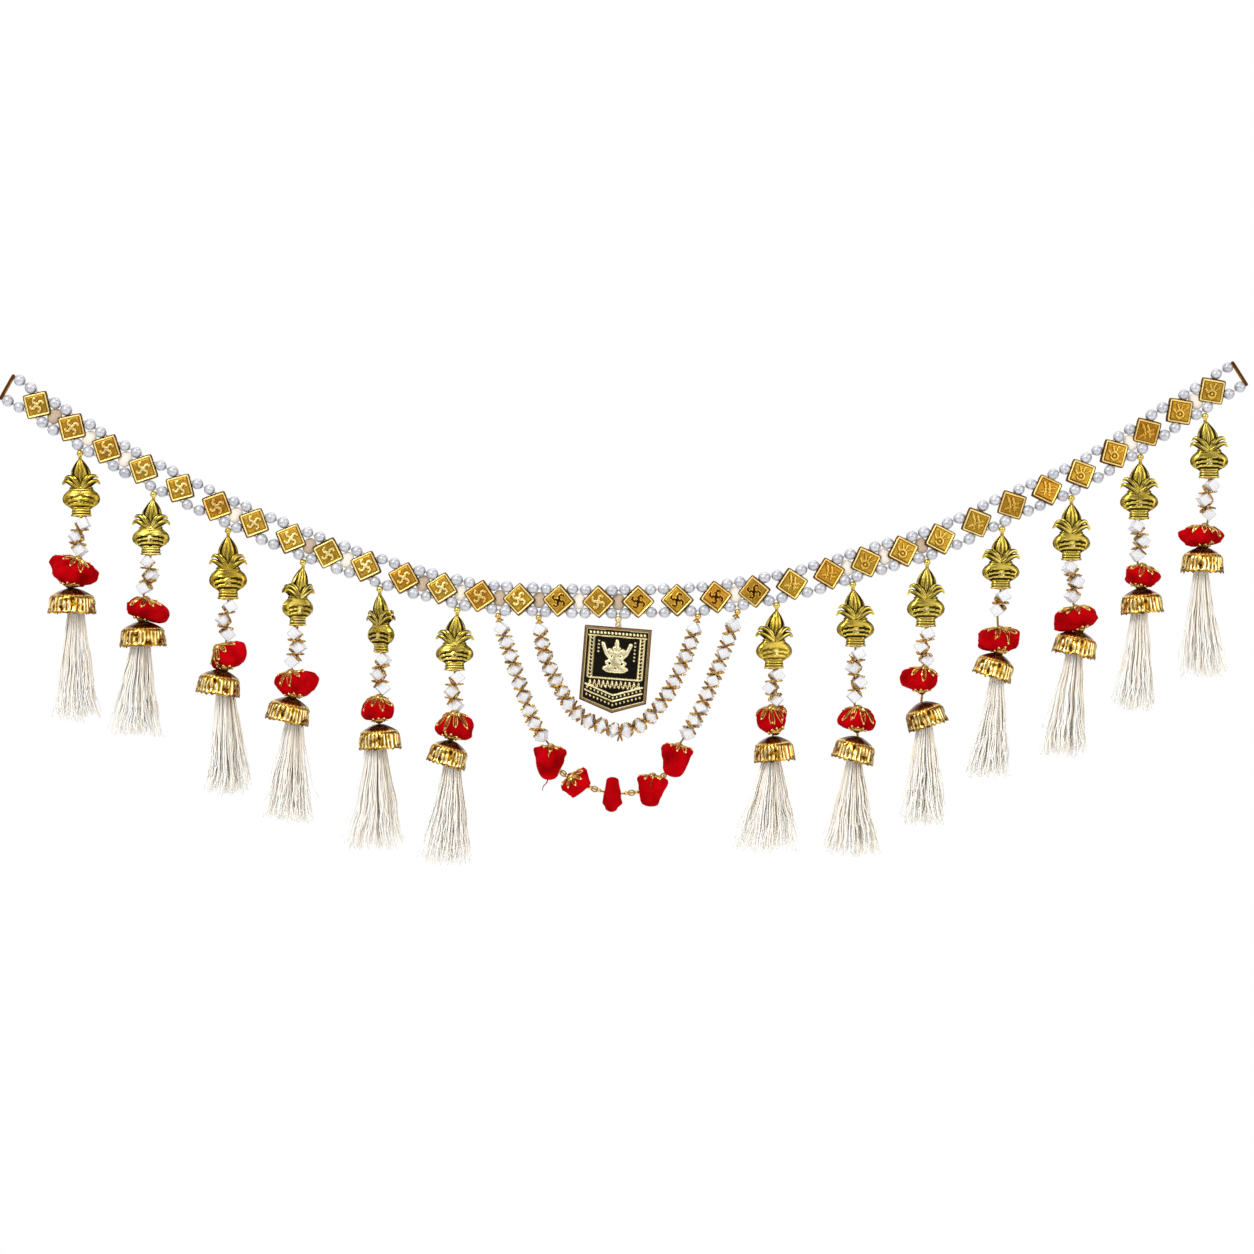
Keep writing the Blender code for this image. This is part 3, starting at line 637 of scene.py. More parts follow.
def make_tiles():
    """All tiles as one mesh: relief in front, bevelled sides with painted shade, plain rimmed back."""
    edges = [-1.0, -0.985, -0.95, -0.925, -0.9, -0.86, -0.83, -0.80, -0.77, -0.74]
    inner = [round(v, 3) for v in np.linspace(-0.70, 0.70, 21)]
    line = np.array(edges + inner + [-v for v in edges[::-1]])
    x, z = np.meshgrid(line, line)
    looks = {motif: tile_relief(x, z, motif) for motif in ("bright", *TILE_MOTIFS)}
    drop = np.clip((np.maximum(np.abs(x), np.abs(z)) - 0.95) / 0.05, 0, 1)
    round_off = 1 - 0.05 * (np.abs(x * z)) ** 6
    front_faces = grid_faces(len(line), len(line))
    ring_x, ring_z = border(x * round_off), border(z * round_off)
    size = len(ring_x)
    side_faces = grid_faces(len(TILE_SIDES), size, wrap=True, flip=True) + [row_face(len(TILE_SIDES) - 1, size)]
    side_relief = np.repeat([row[2] for row in TILE_SIDES], size)
    shape = Shape("relief", "tint")
    for tile in range(1, TILE_COUNT + 1):
        motif = next((name for name, tiles in TILE_MOTIFS.items() if tile in tiles), "bright")
        height, relief = looks[motif]
        here = band_frame(tile)
        lean = Matrix.Rotation(math.radians(rng.uniform(-4, 4)), 3, "Y")
        tip = Matrix.Rotation(math.radians(rng.uniform(-7, 7)), 3, here.up)
        swing = Matrix.Rotation(math.radians(rng.uniform(-6, 6)), 3, here.along)
        turn = swing @ tip @ lean
        side_x = turn @ ((here.along + here.up) / math.sqrt(2))
        side_z = turn @ ((here.up - here.along) / math.sqrt(2))
        directions = np.array([side_x, side_z, turn @ FRONT])
        tint = rng.choice(TILE_TINTS)

        def carried(u, v, depth):
            flat = np.stack([u.ravel(), v.ravel(), depth.ravel()], axis=1)
            return flat @ directions + np.array(here.point)

        front = TILE_THICK / 2 + TILE_RELIEF * (height - 1.0) - 0.5 * drop
        # Painted shade: the colour value drops where the front rounds off at its edge.
        shape.add(carried(x * round_off * TILE_HALF, z * round_off * TILE_HALF, front), front_faces,
                  relief=relief.ravel() * (1 - 0.75 * drop.ravel()), tint=tint)
        rings = [carried(ring_x * half, ring_z * half, np.full(size, depth)) for half, depth, _ in TILE_SIDES]
        shape.add(np.concatenate(rings), side_faces, relief=side_relief, tint=tint)
    return dress(shape.build("tiles", LOOKS["tile"], 50.0), "tile_gold", "band")


def make_pearls():
    """Two rows of pearls, a little uneven in size and place, with painted shade round their holes."""
    shape = Shape("collar")
    for side in (1, -1):
        for gap in range(TILE_COUNT + 1):
            pitch = band_frame(gap + 0.5).pitch
            for shift in (-PEARL_STEP, PEARL_STEP):
                here = band_frame(gap + 0.5 + shift / pitch)
                radius = 4.25 + rng.uniform(-0.2, 0.2)
                points, faces = ball(radius, 18, 12)
                # Painted shade: 0 on the pearl's belly, rising to 1 towards its holes.
                collar = np.clip((np.abs(points[:, 2]) / radius - 0.60) / 0.38, 0, 1) ** 1.5
                points[:, 2] *= 1.03 + rng.uniform(-0.03, 0.05)
                place = here.point + here.up * (ROW_OFFSET * side + rng.uniform(-0.35, 0.35))
                place = place + FRONT * rng.uniform(-0.5, 0.5)
                lean = here.along + here.up * rng.uniform(-0.12, 0.12)
                shape.add(moved(points, place, lean.normalized()), faces, collar=collar)
    return dress(shape.build("pearls", LOOKS["pearl"], 180.0), "pearl", "band")


THREAD_STEPS = 4 * (TILE_COUNT + 1)


def make_threads():
    """The two threads through tiles and pearls."""
    shape = Shape()
    for side in (1, -1):
        path = []
        for i in range(THREAD_STEPS + 1):
            here = band_frame(1 - 0.8 * END_REACH + i / THREAD_STEPS * (TILE_COUNT - 1 + 1.6 * END_REACH))
            path.append(here.point + here.up * (ROW_OFFSET * side))
        add_tube(shape, path, 0.7, 6)
    return dress(shape.build("threads", LOOKS["thread"]), "pearl", "band")


# Painted shade: small pads in the gaps between tiles stand in for the warm shade seen there; tint 1 is the darker
# tan shade.
PAD_SIZE = (5.4, 6.4, 1.6)
PAD_BACK = 1.4
GAP_SHADE = (  # tint and numbers of the gaps that have a pad, each gap counted by the tile before it
    (0.0, (2, 3, 6, 9, 12, 15, 19, 22, 23, 30, 32)),
    (1.0, (1, 8, 11, 13, 14, 16, 24)))


def make_gap_shade_pads():
    """Small pieces of painted shade behind the pearls, in the gaps that aren't open."""
    shape = Shape("tint")
    for tint, gaps in GAP_SHADE:
        for gap in gaps:
            here = band_frame(gap + 0.5)
            points, faces = ball(1.0, 16, 9)
            turn = np.array([here.along, here.up, FRONT])
            size = np.array(PAD_SIZE) * rng.uniform(0.97, 1.03)
            shape.add((points * size) @ turn + np.array(here.point - FRONT * PAD_BACK), faces, tint=tint)
    return dress(shape.build("gap_shade_pads", LOOKS["pad"], 180.0), "tile_gold", "band")


# The low relief of the middle rows paints the bar dark brown, as painted shade like the tiles' sides.
END_BAR_ROWS = (  # distance inward, half length, half depth and relief of an end bar's rings
    (0.0, 10.0, 1.7, 0.4), (0.25, 10.7, 2.2, 0.25), (1.1, 11.0, 2.6, 0.14), (1.4, 11.0, 2.6, 0.14),
    (2.15, 10.7, 2.2, 0.25), (2.4, 10.0, 1.7, 0.4))
END_BAR_SIDES = 24


def make_end_bars():
    """The edge-on tile that closes the band at both ends."""
    shape = Shape("relief", "tint")
    for tile, outward in ((1 - END_REACH, -1), (TILE_COUNT + END_REACH, 1)):
        here = band_frame(tile)
        rows = []
        for inward, half, deep, _ in END_BAR_ROWS:
            centre = here.point - here.along * (outward * inward)
            for angle in circle(END_BAR_SIDES):
                u, v = (math.copysign(abs(part) ** 0.35, part) for part in (math.cos(angle), math.sin(angle)))
                rows.append(centre + here.up * (u * half) + Vector((0, v * deep, 0)))
        shape.add(rows, tube_faces(len(END_BAR_ROWS), END_BAR_SIDES, flip=outward > 0),
                  relief=np.repeat([row[3] for row in END_BAR_ROWS], END_BAR_SIDES), tint=0.2)
    return dress(shape.build("end_bars", LOOKS["tile"]), "tile_gold", "band")


# Charms

CHARM_TOP = 4.2
CHARM_HALF = [  # part of the height, half width, half depth, of a charm's outline from its top
    (0.000, 1.0, 1.0), (0.020, 2.0, 1.4), (0.060, 3.5, 1.9), (0.110, 5.1, 2.4), (0.170, 6.6, 2.8),
    (0.230, 7.6, 3.0), (0.280, 7.8, 2.9), (0.330, 7.2, 2.7), (0.380, 6.0, 2.4), (0.420, 5.8, 2.3),
    (0.460, 6.8, 2.5), (0.490, 8.4, 2.8), (0.505, 9.4, 2.9), (0.520, 8.8, 2.8),
    (0.545, 9.8, 3.0), (0.590, 12.2, 3.4), (0.640, 13.8, 3.8), (0.700, 14.5, 4.0), (0.760, 13.8, 3.9),
    (0.815, 11.4, 3.5), (0.855, 8.2, 3.0), (0.880, 7.0, 2.8), (0.910, 7.2, 2.9), (0.940, 7.5, 3.0),
    (0.955, 7.0, 2.8), (0.970, 8.0, 3.0), (1.000, 7.6, 2.6)]
CHARM_LEAVES = (  # points across and down of the leaves at one side, from root to tip
    ((0.8, 27.0), (5.0, 24.4), (9.0, 21.8), (12.2, 21.2), (14.2, 23.8)),
    ((0.8, 25.8), (4.0, 21.6), (7.2, 18.4), (10.4, 17.4), (12.6, 19.4)),
    ((0.6, 24.6), (2.6, 21.2), (4.6, 18.6), (6.6, 17.2), (8.4, 18.0)))
LEAF_WIDTHS = (1.3, 1.6, 1.9, 2.0, 1.9, 1.7, 1.5, 1.2, 0.9, 0.5)
LEAF_DEPTHS = (-2.2, -2.8, -2.5, -1.8, -1.2)
LEAF_SIDES = 8
# Painted shade in each charm's belly hollows, deeper on some charms than on others.
CHARM_HOLLOW_SHADE = (0.3, 1.0, 0.7, 0.45, 1.0, 0.85, 0.25, 0.9, 0.6, 1.0, 0.8, 0.7, 0.9)
CHARM_TINTS = (0.0, 0.1, 0.3, 0.6)
CHARM_HEIGHT = 43.8  # of the charm that the leaves are drawn for
BELLY_LEVEL = -32.4
BAND_PITCH = 3.3


def charm_relief(x, part, u, dark):
    """Height of a charm's face at a distance across, a part of its height and of its half width."""
    z = -part * 44.0
    edge = np.abs(u)
    ridge = np.abs(np.cos(u * 2.5 * math.pi)) ** 0.8
    nut = np.where(edge > 0.80, 0.90, np.where(edge > 0.62, 0.08, 0.34 + 0.46 * ridge))
    waves = 0.5 + 0.5 * np.cos(part * 2 * math.pi * 24 + 1.6 * edge)
    height = np.where(part < 0.40, nut, 0.30 + 0.50 * waves)
    level = z + 0.018 * x * x - BELLY_LEVEL
    panel = np.clip((11.4 - np.abs(x) - 0.30 * np.abs(z + 31.0)) / 0.8, 0, 1)
    panel = panel * np.clip((5.0 - np.abs(level)) / 0.8, 0, 1)
    across = level % BAND_PITCH - BAND_PITCH / 2
    bands = stroke(np.zeros_like(x), across, ((-1.0, 0.0), (1.0, 0.0)), 0.75)
    boss = dome(x, z, 0.0, -32.0, 2.4, 3.6)
    # Painted shade: the hollows between the bands are darker by the charm's shade value.
    carved = np.where(boss > 0, 0.45 + 0.5 * boss, np.where(bands > 0, 0.42 + 0.44 * bands, 0.46 - 0.44 * dark))
    rim = 0.66 + 0.30 * np.clip(1 - np.abs(panel - 0.5) * 2, 0, 1)
    belly = np.where(panel > 0.5, carved, rim)
    height = np.where((part >= 0.56) & (part < 0.865), belly, height)
    return np.where(part >= 0.865, 0.22 + 0.70 * np.abs(np.sin((part - 0.865) * math.pi * 22)), height)


def add_leaf(shape, bend, turn, place, tint):
    """A leaf blade, flat and ridged, that runs up and out and curls at its tip."""
    knots = [Vector(point) for point in bend]
    count = len(LEAF_WIDTHS)
    path = [smooth_point(knots, i * (len(knots) - 1) / (count - 1)) for i in range(count)]
    points = tube_points(path, LEAF_WIDTHS, LEAF_SIDES)
    middle = np.repeat(np.array(path), LEAF_SIDES, axis=0)
    points[:, 1] = middle[:, 1] + 0.45 * (points[:, 1] - middle[:, 1])
    away = np.hypot(points[:, 0] - middle[:, 0], points[:, 2] - middle[:, 2])
    # Painted highlight along the leaf's spine and painted shade towards its edges.
    crest = np.clip(1.0 - 0.62 * away, 0.10, 1.0)
    shape.add(points @ np.array(turn).T + np.array(place), tube_faces(count, LEAF_SIDES), relief=crest, tint=tint)


def add_leaves(shape, hanger, place, height, turn, tint):
    """Three leaves to each side of a charm, on both faces."""
    hung = place + Vector((hanger.charm_x * 0.9, 0.0, 0.0))
    scale = height / CHARM_HEIGHT
    for sign in (-1, 1):
        for knots in CHARM_LEAVES:
            rise = rng.uniform(-0.8, 0.8)
            bend = [(sign * x, y, -(z + rise * i / 4) * scale)
                    for i, ((x, z), y) in enumerate(zip(knots, LEAF_DEPTHS))]
            add_leaf(shape, bend, turn, hung, tint)
            add_leaf(shape, [(x, -y, z) for x, y, z in bend], turn, hung, tint)


def make_charms():
    """Every hanger's pot-shaped charm, with the same relief on both faces, under its gold ball."""
    table = np.array(CHARM_HALF)
    part = np.sort(np.concatenate([np.linspace(0, 1, 54), table[:, 0]]))
    part = part[np.concatenate([[True], np.diff(part) > 1e-4])]
    u = np.sin(np.linspace(-math.pi / 2, math.pi / 2, 33))
    grid_u, grid_part = np.meshgrid(u, part)
    half, deep = (np.interp(grid_part, table[:, 0], table[:, column]) for column in (1, 2))
    across = half * grid_u
    fade = 1 - np.abs(grid_u) ** 8
    rows, columns = grid_u.shape
    for number, (hanger, dark) in enumerate(zip(HANGERS, CHARM_HOLLOW_SHADE), start=1):
        relief = charm_relief(across, grid_part, grid_u, dark)
        out = deep * (0.35 + 0.65 * np.sqrt(1 - 0.85 * grid_u ** 2)) * fade + 1.1 * (relief - 0.7) * fade
        place = notch(hanger.after)
        height = hanger.foot_z - CHARM_TOP
        turn = Matrix.Rotation(math.radians(hanger.turn + rng.uniform(-5, 5)), 3, "Z")
        drop = CHARM_TOP + grid_part * height
        shift = hanger.charm_x * np.clip(drop / (0.5 * hanger.foot_z), 0, 1)
        shape = Shape("relief", "tint")
        tint = rng.choice(CHARM_TINTS)
        for face in (-1, 1):
            flat = np.stack([across.ravel(), (face * out).ravel(), np.zeros(across.size)], axis=1)
            points = flat @ np.array(turn).T
            points += np.stack([shift.ravel(), np.zeros(across.size), -drop.ravel()], axis=1)
            # Painted shade: the colour value falls at the outline, where the faces turn away.
            shape.add(points + np.array(place), grid_faces(rows, columns, flip=face < 0),
                      relief=relief.ravel() * (0.50 + 0.50 * fade.ravel()), tint=tint)
        add_leaves(shape, hanger, place, height, turn, tint)
        add_moved(shape, ball(2.6, 14, 9), place, relief=0.8, tint=tint)
        neck = turned(((1.1, 0.0), (1.3, 0.6), (1.3, 2.2), (1.1, 2.8)), 10)
        add_moved(shape, neck, place + DOWN * 2.2, relief=0.6, tint=tint)
        name = "charm_%02d" % number
        dress(shape.build(name + "_relief", LOOKS["charm"], 60.0), "charm_gold", name)


# Bead strings

def cut_bead(size, reach):
    """Cube with softened edges, pierced from edge to edge along -Z, with a face to the front."""
    made = bmesh.new()
    bmesh.ops.create_cube(made, size=size)
    bmesh.ops.bevel(made, geom=made.edges[:], offset=0.08 * size, segments=2, profile=0.6, affect="EDGES")
    made.verts.index_update()
    turn = Matrix.Rotation(math.pi / 4, 3, "Y")
    points = np.array([turn @ vertex.co for vertex in made.verts])
    faces = [tuple(vertex.index for vertex in face.verts) for face in made.faces]
    # Painted shade: the narrow bevel faces get 1 and the broad faces get 0.
    edge = np.ones(len(points))
    for face in made.faces:
        if face.calc_area() > 0.3 * size ** 2:
            edge[[vertex.index for vertex in face.verts]] = 0.0
    made.free()
    points[:, 2] = np.clip(points[:, 2], -reach, reach)
    return points, faces, edge


HUB = ((1.4, -0.35), (4.0, -0.32), (4.4, 0.0), (4.0, 0.32), (1.4, 0.35))
SPACER_LOOPS = 6
LOOP_AWAY = 5.0
LOOP_RADIUS = 1.6
LOOP_WIRE = 0.76


def add_spacer(shape, place, axis):
    """Gold flower spacer: open wire loops round a thin pierced hub."""
    add_moved(shape, turned(HUB, 10), place, axis, relief=0.40, tint=0.7)
    turn = DOWN.rotation_difference(axis).to_matrix()
    spin = rng.uniform(0, 1)
    for k in range(SPACER_LOOPS):
        angle = 2 * math.pi * (k + spin) / SPACER_LOOPS
        out = Vector((math.cos(angle), math.sin(angle), 0.0))
        side = Vector((-out.y, out.x, 0.0))
        loop = [place + turn @ (out * (LOOP_AWAY + LOOP_RADIUS * math.cos(a)) + side * (LOOP_RADIUS * math.sin(a)))
                for a in circle(8)]
        add_tube(shape, loop, LOOP_WIRE, 4, loop=True, relief=0.45 + 0.4 * rng.random(), tint=0.7 * rng.random())


def add_string(beads, gold, centres, before, after, size=8.2):
    """Beads at the centres and pairs of crossed spacers between them."""
    line = [before] + centres + [after]
    for i, centre in enumerate(centres, start=1):
        axis = (line[i + 1] - line[i - 1]).normalized()
        lean = Vector([rng.uniform(-0.14, 0.14) for _ in range(3)])
        points, faces, edge = cut_bead(size + rng.uniform(-0.3, 0.3), 5.0)
        beads.add(moved(points, centre, (axis + lean).normalized(), rng.uniform(-0.5, 0.5)), faces, edge=edge)
    for here, there in zip(centres, centres[1:]):
        place = here.lerp(there, 0.5)
        axis = (there - here).normalized()
        side = Vector((axis.z, 0.0, -axis.x))
        for way in (-1, 1):
            tilt = axis + side * (way * rng.uniform(0.40, 0.70)) + FRONT * rng.uniform(-0.2, 0.2)
            add_spacer(gold, place + axis * (0.2 * way), tilt.normalized())


def hanger_beads(hanger, place):
    """Bead centres of a hanger, as in the solids."""
    bud_top = hanger.bud_z - 0.5 * hanger.bud_h
    pitch = min(BEAD_PITCH, (bud_top - hanger.foot_z - 2 * CLEAR) / hanger.beads)
    centres = []
    for k in range(hanger.beads):
        drop = hanger.foot_z + CLEAR + (k + 0.5) * pitch
        side = hanger.side * BEAD_ZIGZAG * (1 if k % 2 == 0 else -1)
        centres.append(place + Vector((core_x(hanger, drop) + side, 0.0, -drop)))
    return centres


# Bells

BELL_SIDES = 120
BELL_PROFILE = (  # part of the radius and of the height, outer face from the top
    (0.14, 0.0), (0.24, 0.012), (0.42, 0.07), (0.60, 0.145), (0.72, 0.205), (0.79, 0.25), (0.83, 0.275),
    (0.87, 0.30), (0.90, 0.34), (0.92, 0.38), (0.935, 0.43), (0.94, 0.48), (0.95, 0.54), (0.955, 0.60),
    (0.96, 0.66), (0.97, 0.72), (0.975, 0.78), (0.985, 0.83), (1.0, 0.88), (1.02, 0.94), (1.025, 1.0))
BELL_INSIDE = ((0.985, 0.995), (0.93, 0.90), (0.90, 0.76), (0.86, 0.63), (0.60, 0.60), (0.10, 0.59))
BELL_TINTS = (0.0, 0.15, 0.4)


def near(value, middle, reach):
    """1 at a middle, falling to 0 at a reach from it."""
    return max(0.0, 1 - abs(value - middle) / reach)


def rising(value, start, reach):
    """0 up to a start, rising to 1 over a reach."""
    return min(max((value - start) / reach, 0), 1)


def bell_mesh(shape, top, axis, radius, spin):
    """Stamped bell: shallow cone, beaded line, pierced-looking skirt with a toothed rim, inner face."""
    angle = np.linspace(0, 2 * math.pi, BELL_SIDES, endpoint=False)

    def uneven(size, level):
        return np.array([noise.noise(Vector((size * math.cos(a), size * math.sin(a), level + 7 * spin)))
                         for a in angle])

    studs = 0.5 + 0.5 * np.cos(30 * angle)
    teeth = 1.0 - np.abs(np.sin(11 * angle + 0.4)) ** 0.7
    ragged = 0.6 + 0.8 * uneven(2.4, 0.0)
    drift = 2.2 * uneven(1.1, 3.0)

    def ring(reach, drop):
        edge = rising(drop, 0.86, 0.14)
        fall = drop * BELL_HEIGHT - 1.0 * edge + 2.0 * edge * teeth * ragged
        return np.stack([reach * np.cos(angle + spin), reach * np.sin(angle + spin), -fall], axis=1)

    rows = []
    relief = []
    for part, drop in BELL_PROFILE:
        skirt = rising(drop, 0.34, 0.05) * min(max((0.90 - drop) / 0.04, 0), 1)
        line = near(drop, 0.28, 0.05)
        hem = near(drop, 0.885, 0.05)
        # Painted shade: the gaps between the skirt's ribs are painted near black, so it looks pierced.
        ribs = np.abs(np.cos(15 * angle + drift + 1.1 * uneven(2.0, drop))) ** 0.9
        pattern = ribs * np.clip(1.25 + 2.0 * uneven(3.4, 4.0 * drop), 0.0, 1.0)
        lift(pattern, 0.9 * near(drop, 0.63, 0.05))
        swell = skirt * (1.2 * pattern - 0.7) + 0.5 * line * studs + 0.4 * hem * studs
        rows.append(ring(part * radius + swell, drop))
        # Painted reflection: the top cone is painted darker, as a reflection of the red bud above it; the plain
        # band lower down is mid gold.
        tone_with_painted_reflection = 0.20 if drop < 0.24 else 0.42
        relief.append(np.clip(tone_with_painted_reflection * (1 - skirt) + skirt * (0.10 + 0.90 * pattern) + 0.6 * line * studs
                              + 0.5 * hem * studs, 0, 1))
    # The inner face gets a low value, painted dark gold with patina and painted shade as in the hollows.
    for part, drop in BELL_INSIDE:
        rows.append(ring(part * radius, drop))
        relief.append(np.full(BELL_SIDES, 0.3))
    shape.add(moved(np.concatenate(rows), top, axis), tube_faces(len(rows), BELL_SIDES, flip=True),
              relief=np.concatenate(relief), tint=rng.choice(BELL_TINTS))


# Buds and their filigree caps

BUD_SIDES = 56
BUD_ROWS = 34
BUD_FACES = tube_faces(BUD_ROWS + 1, BUD_SIDES)
CAP_SEAT = ((1.4, -1.8), (2.6, -1.2), (3.4, -0.2), (3.8, 0.6), (2.6, 1.0))
NEARER = (1.0, 0.9, 0.8, 0.7, 0.6, 0.5, 0.4, 0.3, 0.0)


def bud_levels():
    """Parts of the way up a bud, from -1 at its foot to 1, closer together at both ends."""
    return [-math.cos(math.pi * (0.02 + 0.96 * r / BUD_ROWS)) for r in range(BUD_ROWS + 1)]


def bud_points(seed, half, high, deep, matrix):
    """Points of a soft stuffed lump with a few broad folds, row by row from its foot."""
    points = []
    for level in bud_levels():
        ring = math.sqrt(max(1 - abs(level) ** 2.8, 0.0)) ** 0.85
        for angle in circle(BUD_SIDES):
            corner = angle + 0.9 * seed
            square = 0.90 / max(abs(math.cos(corner)), abs(math.sin(corner)), 0.78)
            taper = 1 + 0.16 * math.sin(2.1 * seed) * level
            x, y, z = half * ring * square * taper * math.cos(angle), deep * ring * math.sin(angle), high * level
            lump = noise.noise(Vector((x * 0.07 + seed * 7.3, y * 0.07, z * 0.09 + seed)))
            fold = abs(noise.noise(Vector((x * 0.16 + seed * 3.1, y * 0.16, z * 0.10 + 5))))
            swell = 1 + 0.22 * lump + 0.24 * (0.22 - fold)
            points.append(matrix @ Vector((x * swell, y * swell, z * (1 + 0.16 * lump + 0.10 * (0.2 - fold)))))
    return points


def make_bud(name, points, nodes):
    """A velvet bud as a closed, stuffed mesh."""
    shape = Shape()
    shape.add(points, BUD_FACES)
    bud = dress(shape.build(name, LOOKS["velvet"], 180.0), "red_velvet", nodes)
    return bud


def add_cap(shape, points, matrix, centre_x, reach, petals, top=1.0, lean=0.5):
    """Filigree cap laid on a bud: looped wire petals that follow its surface, with a ball at each tip."""
    tree = BVHTree.FromPolygons([Vector(p) for p in points], BUD_FACES)
    turn = matrix.to_3x3()
    down, across, deep = ((turn @ Vector(axis)).normalized() for axis in ((0, lean, -top), (1, 0, 0), (0, 1, 0)))
    start = matrix @ Vector((centre_x, 0, 0)) - down * 40.0

    def laid(out, angle):
        for shorter in NEARER:
            hit = tree.ray_cast(start + across * (out * shorter * math.cos(angle))
                                + deep * (out * shorter * math.sin(angle)), down)
            if hit[0]:
                return hit[0] + hit[1] * 0.45
        return start

    spin = rng.uniform(0, 1)
    for k in range(petals):
        middle = 2 * math.pi * (k + spin) / petals
        long = reach * rng.uniform(0.82, 1.12)
        path = [laid(long * (0.56 - 0.44 * math.cos(a)), middle + 0.85 / petals * 2 * math.sin(a))
                for a in circle(12)]
        add_tube(shape, path, 0.42, 4, loop=True, relief=0.70, tint=0.6 * rng.random())
        spine = [laid(long * part, middle) for part in (0.1, 0.35, 0.6, 0.85)]
        add_tube(shape, spine, [0.5, 0.45, 0.4, 0.3], 4, relief=0.6, tint=0.4)
        add_moved(shape, ball(1.0, 7, 4), path[6], relief=0.95, tint=0.1)
    add_moved(shape, turned(CAP_SEAT, 14), laid(0.0, 0.0), down, relief=0.6, tint=0.3)


# Tassels

LOCKS = 22
LOCK_STRANDS = 10
STRAND_STEPS = 14


def make_tassel(number, hanger, place):
    """Loose silky strands in wavy locks that part below the bell, with frayed tips."""
    neck_half = 0.41 * hanger.head_w
    top, axis = bell_top(hanger)
    roof = top + axis * (BELL_ROOF + 1.0)
    head_x = min(max(hanger.head_x, roof.x - 4.0), roof.x + 4.0)
    head = Vector((head_x, 0.0, roof.z - 0.5))
    neck = Vector((head_x * 0.6 + hanger.head_x * 0.4, 0.0, -hanger.rim_z))
    tip = Vector((hanger.tip_x, 0.0, -hanger.tip_z))
    shape = Shape("tint")
    bow = rng.uniform(-1, 1)
    for lock in range(LOCKS):
        lock_angle = 2 * math.pi * (lock * 0.618034)
        lock_out = math.sqrt((lock + 0.5) / LOCKS)
        lock_phase = rng.uniform(0, 6.28)
        lock_waves = rng.uniform(2.0, 3.2)
        lock_sway = rng.uniform(0.5, 1.3)
        lock_length = rng.uniform(0.93, 1.02)
        lock_curl = rng.gauss(0.0, 1.6)
        for _ in range(LOCK_STRANDS):
            angle = lock_angle + rng.gauss(0.0, 0.35)
            spread = min(max(lock_out + rng.gauss(0.0, 0.13), 0.02), 1.08)
            outward = Vector((math.cos(angle), math.sin(angle), 0.0))
            length = lock_length * (rng.uniform(0.95, 1.03) if rng.random() < 0.85 else rng.uniform(0.76, 0.94))
            own = rng.uniform(0.15, 0.75)
            phase = rng.uniform(0, 6.28)
            curl = lock_curl + rng.gauss(0.0, 1.1)
            path = []
            radii = []
            for i in range(STRAND_STEPS + 1):
                t = i / STRAND_STEPS
                if t < 0.14:
                    centre = head.lerp(neck, t / 0.14)
                    wide = neck_half * (0.74 + 0.26 * t / 0.14)
                else:
                    s = (t - 0.14) / 0.86
                    centre = neck.lerp(tip, s * length)
                    wide = neck_half + (hanger.tip_w / 2 - neck_half) * s ** 1.05
                    centre = centre + Vector((bow * 1.3 * math.sin(s * 3.0), 0.0, 0.0))
                loose = t ** 1.3
                side = (lock_sway * math.sin(lock_waves * 6.28 * t + lock_phase)
                        + own * math.sin(9.0 * 6.28 * t / 2 + phase)) * loose + curl * loose ** 3
                front = lock_sway * math.cos(lock_waves * 5.3 * t + lock_phase) * loose
                path.append(place + centre + outward * (wide * spread) + Vector((side, front, 0.0)))
                radii.append(0.62 - 0.18 * t)
            # Painted shade: strands near the bundle's middle and the tops under the bell are darker, growing
            # lighter towards the tips; each lock and strand also differs at random.
            tone = 0.50 + 0.16 * rng.gauss(0, 1) - 0.25 * (1 - spread) + 0.1 * (lock % 3 - 1)
            tones = np.clip(tone + 0.42 * np.linspace(0, 1, STRAND_STEPS + 1), 0, 1)
            add_tube(shape, path, radii, 3, tint=np.repeat(tones, 3))
    name = "tassel_%02d" % number
    return dress(shape.build(name + "_strands", LOOKS["silk"], 180.0), "cream_silk", name)


# Hangers

FOOT_CUP = ((2.6, -1.4), (3.6, -0.9), (4.4, 0.1), (2.2, 0.6))
LEAST_BUD = 8.0


